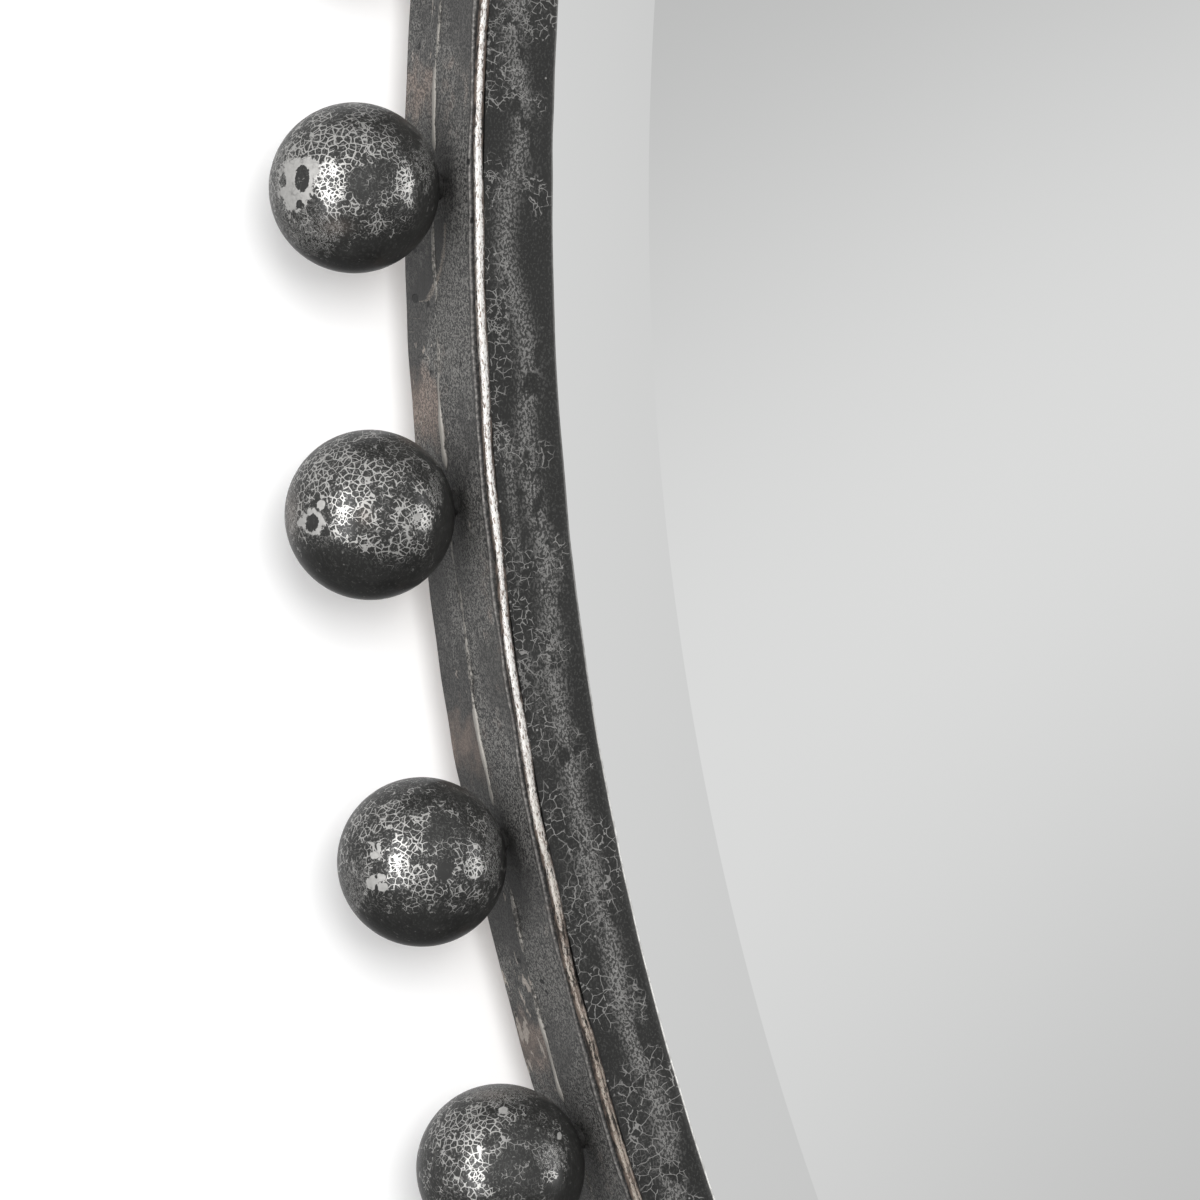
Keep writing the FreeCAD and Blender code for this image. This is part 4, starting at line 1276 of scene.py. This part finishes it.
class ROUNDMIRROR_OT_hangers(bpy.types.Operator):
    """Welded sleeves and the wire rings that swing in them"""

    bl_idname = "round_mirror.hangers"
    bl_label = "Hanging rings and sleeves"

    def execute(self, context):
        zinc = plated_wire(context.scene.mirror_colours)
        for side in ("left", "right"):
            low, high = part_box(f"ring_sleeve_{side}")
            middle = np.array((low + high) / 2)
            make_piece(f"ring_sleeve_{side}_piece", ring_grid(self.sleeve(middle, high.x - low.x)), zinc,
                       [f"ring_sleeve_{side}"])
            make_piece(f"d_ring_{side}_piece", ring_grid(self.wire_ring(middle)), zinc, [f"d_ring_{side}"],
                       body=f"{side}_hanging_ring")
        return {"FINISHED"}

    def sleeve(self, middle, long):
        """A short tube: an outline of radius and length, carried round the X axis."""
        half = long / 2
        corners = ((SLEEVE_BORE, -half), (SLEEVE_OUTER, -half), (SLEEVE_OUTER, half), (SLEEVE_BORE, half))
        outline = rounded_outline(corners, np.array((0.15, 0.4, 0.4, 0.15)) * MM, 2.0 * MM)
        turn = turns(40)[:, None]
        radius = outline[None, :, 0]
        along = outline[None, :, 1] + 0 * turn
        return middle + np.stack([along, radius * np.cos(turn), radius * np.sin(turn)], -1)

    def wire_ring(self, middle):
        """Round wire along a D: bar, quarter bends, legs and a half circle. At each point of the line, with
        t its way and y the depth axis, the wire's rim is cos v (t × y) + sin v y, times its radius."""
        half, bend, foot = RING_HALF, RING_BEND, RING_FOOT
        quarter = np.linspace(0, math.pi / 2, 13)[1:]
        bow = np.linspace(0, math.pi, 49)[1:]
        run = np.linspace(0, 1, 9)[1:]
        lines = [
            np.stack([-half + bend + run * 2 * (half - bend), 0 * run], -1),
            np.stack([half - bend + bend * np.sin(quarter), -bend + bend * np.cos(quarter)], -1),
            np.stack([half + 0 * run, -bend - run * (foot - bend)], -1),
            np.stack([half * np.cos(bow), -foot - half * np.sin(bow)], -1),
            np.stack([-half + 0 * run, -foot + run * (foot - bend)], -1),
            np.stack([-half + bend - bend * np.cos(quarter), -bend + bend * np.sin(quarter)], -1),
        ]
        line = np.concatenate(lines) * MM
        way = np.roll(line, -1, 0) - np.roll(line, 1, 0)
        way /= np.linalg.norm(way, axis=1)[:, None]
        turn = turns(20)[None, :]
        across = RING_WIRE * np.cos(turn)
        points = np.stack([line[:, :1] - way[:, 1:] * across, RING_WIRE * np.sin(turn) + 0 * line[:, :1],
                           line[:, 1:] + way[:, :1] * across], -1)
        return middle + points


class ROUNDMIRROR_OT_wall_bumpers(bpy.types.Operator):
    """Rubber bumpers pushed through the plates behind the frame"""

    bl_idname = "round_mirror.wall_bumpers"
    bl_label = "Wall bumpers"

    def execute(self, context):
        sizes = context.scene.mirror_sizes
        angle = np.radians(90 - np.array(BUMPER_ANGLES))[:, None, None]
        turn = turns(40)[None, None, :]
        reach = BUMPER_PROFILE[None, :, 0, None]
        circle = sizes.band_outer - sizes.band_thickness - BUMPER_INSET
        points = about_radius(circle + reach * np.cos(turn), reach * np.sin(turn),
                              PLATES_HIGH.y + BUMPER_PROFILE[None, :, 1, None], angle)
        caps = [about_ring_axis(circle, PLATES_HIGH.y + rise, angle[:, 0, 0]) for rise in BUMPER_TIPS]
        finish = rubber("grey_rubber", context.scene.mirror_colours.bumper)
        make_piece("wall_bumpers_piece", capped_shells(points, *caps), finish, ["wall_bumpers"])
        return {"FINISHED"}


# The studio

class ROUNDMIRROR_OT_stage(bpy.types.Operator):
    """Plain wall and floor, soft lamps, a pale sky and the camera"""

    bl_idname = "round_mirror.stage"
    bl_label = "Wall, floor, lamps and camera"

    def execute(self, context):
        self.backdrop(context)
        self.sky(context)
        self.lamp("key_lamp", (-22.3, 12.5), 4.0, (1.35, 1.35), 112.0, glossy=False)
        self.lamp("left_fill", (-65.0, 10.0), 3.0, (1.5, 2.5), 38.0, glossy=False)
        self.lamp("left_strip", (-61.8, 2.0), 3.0, (1.1, 3.2), 38.0, diffuse=False)
        self.lamp("right_strip", (52.1, 2.0), 3.0, (0.8, 2.4), 12.0, diffuse=False)
        self.lamp("rear_lamp", (150.0, 35.0), 4.0, (2.5, 2.5), 70.0, glossy=False)
        self.camera(context)
        return {"FINISHED"}

    def backdrop(self, context):
        """One sheet: a floor, a quarter round, and a wall close behind the mirror. From behind it isn't
        seen, so that the back of the mirror shows, and it blocks no light."""
        wall, floor, bend = CAD_BOX[1].y + WALL_GAP, CAD_BOX[0].z - FLOOR_DROP, BACKDROP_BEND
        corner = np.linspace(0, math.pi / 2, 17)
        depth = np.concatenate([[-BACKDROP_REACH], wall - bend + bend * np.sin(corner), [wall]])
        height = np.concatenate([[floor], floor + bend - bend * np.cos(corner), [WALL_HEIGHT]])
        across = np.array((-BACKDROP_REACH, BACKDROP_REACH))[:, None]
        points = np.stack(np.broadcast_arrays(across, depth[None], height[None]), -1).reshape(-1, 3)
        count = len(depth)
        first = np.arange(count - 1)
        faces = np.stack([first, first + count, first + count + 1, first + 1], -1)
        mesh = bpy.data.meshes.new("backdrop")
        mesh.from_pydata(points.tolist(), [], faces.tolist())
        mesh.shade_smooth()
        mesh.materials.append(self.backdrop_finish(context.scene.mirror_colours))
        sheet = bpy.data.objects.new("backdrop", mesh)
        context.scene.collection.objects.link(sheet)
        sheet.visible_diffuse = False
        sheet.visible_glossy = False
        sheet.visible_transmission = False
        sheet.visible_shadow = False

    def backdrop_finish(self, colours):
        """Matt pale card, clear from behind, with light of its own that grows far from the mirror."""
        finish = Finish("backdrop_card")
        clouds = finish.noise(0.004, 2.0)
        away = finish.vector("LENGTH", finish.place)
        finish.shade(
            Base_Color=finish.blend(clouds, scaled(colours.wall, 0.985), colours.wall),
            Roughness=1.0,
            Specular_IOR_Level=0.0,
            Emission_Color=(1.0, 1.0, 1.0),
            Emission_Strength=away.step(750, 1500, 0.2, 1.0),
        )
        clear = finish.output(finish.add("ShaderNodeBsdfTransparent"))
        behind = finish.output(finish.add("ShaderNodeNewGeometry"), "Backfacing")
        choice = finish.add("ShaderNodeMixShader")
        finish.feed_all(choice, behind, finish.output(finish.shader), clear)
        finish.feed(finish.surface, finish.output(choice))
        return finish.material

    def sky(self, context):
        """White where the camera looks past the object. For light and reflections it is a soft grey room,
        darker below. Ahead of the glass a broad bow of light stands about a middle C: with n a direction
        and g growing across the room from left to right, its brightness is exp(-(g (n·C - cos r))²)."""
        world = bpy.data.worlds.new("soft_room")
        context.scene.world = world
        nodes = Nodes(world)
        way = nodes.output(nodes.add("ShaderNodeTexCoord"), "Generated")
        parts = nodes.add("ShaderNodeSeparateXYZ")
        nodes.feed(parts.inputs[0], way)
        rise = nodes.output(parts, "Z").step(-0.75, -0.05, 0.19, 0.81)
        off = nodes.vector("DOT_PRODUCT", way, BOW_MIDDLE) - BOW_COSINE
        off = off * nodes.output(parts, "X").step(0.15, 0.45, 1.04, 97.0)
        bow = nodes.maths("EXPONENT", off * off * -1.0)
        room = nodes.add("ShaderNodeBackground")
        nodes.feed(room.inputs["Strength"], rise * (bow * 0.4 + 0.6))
        white = nodes.add("ShaderNodeBackground")
        for background in (room, white):
            background.inputs["Color"].default_value = (1.0, 1.0, 1.0, 1.0)
        seen = nodes.output(nodes.add("ShaderNodeLightPath"), "Is Camera Ray")
        choice = nodes.add("ShaderNodeMixShader")
        nodes.feed_all(choice, seen, nodes.output(room), nodes.output(white))
        nodes.feed(nodes.add("ShaderNodeOutputWorld").inputs["Surface"], nodes.output(choice))

    def lamp(self, name, aim, away, size, power, diffuse=True, glossy=True):
        """One soft lamp, at an angle to the side and up from straight in front, pointing at the mirror."""
        side, up = (math.radians(angle) for angle in aim)
        towards = Vector((math.sin(side) * math.cos(up), -math.cos(side) * math.cos(up), math.sin(up)))
        light = bpy.data.lights.new(name, "AREA")
        light.shape = "RECTANGLE"
        light.size, light.size_y = size
        light.energy = power
        lamp = bpy.data.objects.new(name, light)
        lamp.location = towards * away
        lamp.rotation_mode = "QUATERNION"
        lamp.rotation_quaternion = (-towards).to_track_quat("-Z", "Y")
        lamp.visible_camera = False
        lamp.visible_diffuse = diffuse
        lamp.visible_glossy = glossy
        bpy.context.scene.collection.objects.link(lamp)

    def camera(self, context):
        """The camera, close in front and to the left, looking at the left of the frame."""
        data = bpy.data.cameras.new("camera")
        data.sensor_width = 36.0
        data.lens = CAMERA_LENS
        data.clip_start = 0.05
        data.clip_end = 100.0
        camera = bpy.data.objects.new("camera", data)
        turn = Matrix((RIGHT, UP, -FORWARD)).transposed().to_4x4()
        camera.matrix_world = Matrix.Translation(CAMERA_PLACE) @ turn
        context.scene.collection.objects.link(camera)
        context.scene.camera = camera
        context.scene.view_settings.view_transform = "Standard"


class ROUNDMIRROR_PT_panel(bpy.types.Panel):
    """Lists the mirror's pieces and their sizes and colours"""

    bl_idname = "ROUNDMIRROR_PT_panel"
    bl_label = "Round mirror"
    bl_space_type = "VIEW_3D"
    bl_region_type = "UI"
    bl_category = "Mirror"

    def draw(self, context):
        for step in STEPS:
            self.layout.operator(step.bl_idname)
        for group in (context.scene.mirror_sizes, context.scene.mirror_colours):
            box = self.layout.box()
            for name in group.__annotations__:
                box.prop(group, name)


STEPS = (
    ROUNDMIRROR_OT_stage,
    ROUNDMIRROR_OT_face_ring,
    ROUNDMIRROR_OT_side_band,
    ROUNDMIRROR_OT_bead_and_seam,
    ROUNDMIRROR_OT_balls,
    ROUNDMIRROR_OT_ball_welds,
    ROUNDMIRROR_OT_glazing,
    ROUNDMIRROR_OT_steelwork,
    ROUNDMIRROR_OT_hangers,
    ROUNDMIRROR_OT_wall_bumpers,
)


def register():
    for item in (MirrorSizes, MirrorColours, *STEPS, ROUNDMIRROR_PT_panel):
        bpy.utils.register_class(item)
    bpy.types.Scene.mirror_sizes = bpy.props.PointerProperty(type=MirrorSizes)
    bpy.types.Scene.mirror_colours = bpy.props.PointerProperty(type=MirrorColours)


def unregister():
    del bpy.types.Scene.mirror_colours
    del bpy.types.Scene.mirror_sizes
    for item in (ROUNDMIRROR_PT_panel, *reversed(STEPS), MirrorColours, MirrorSizes):
        bpy.utils.unregister_class(item)


def main():
    """Makes every piece in turn."""
    register()
    bpy.ops.round_mirror.stage()
    bpy.ops.round_mirror.face_ring()
    bpy.ops.round_mirror.side_band()
    bpy.ops.round_mirror.bead_and_seam()
    bpy.ops.round_mirror.balls()
    bpy.ops.round_mirror.ball_welds()
    bpy.ops.round_mirror.glazing()
    bpy.ops.round_mirror.steelwork()
    bpy.ops.round_mirror.hangers()
    bpy.ops.round_mirror.wall_bumpers()


if __name__ == "__main__":
    main()
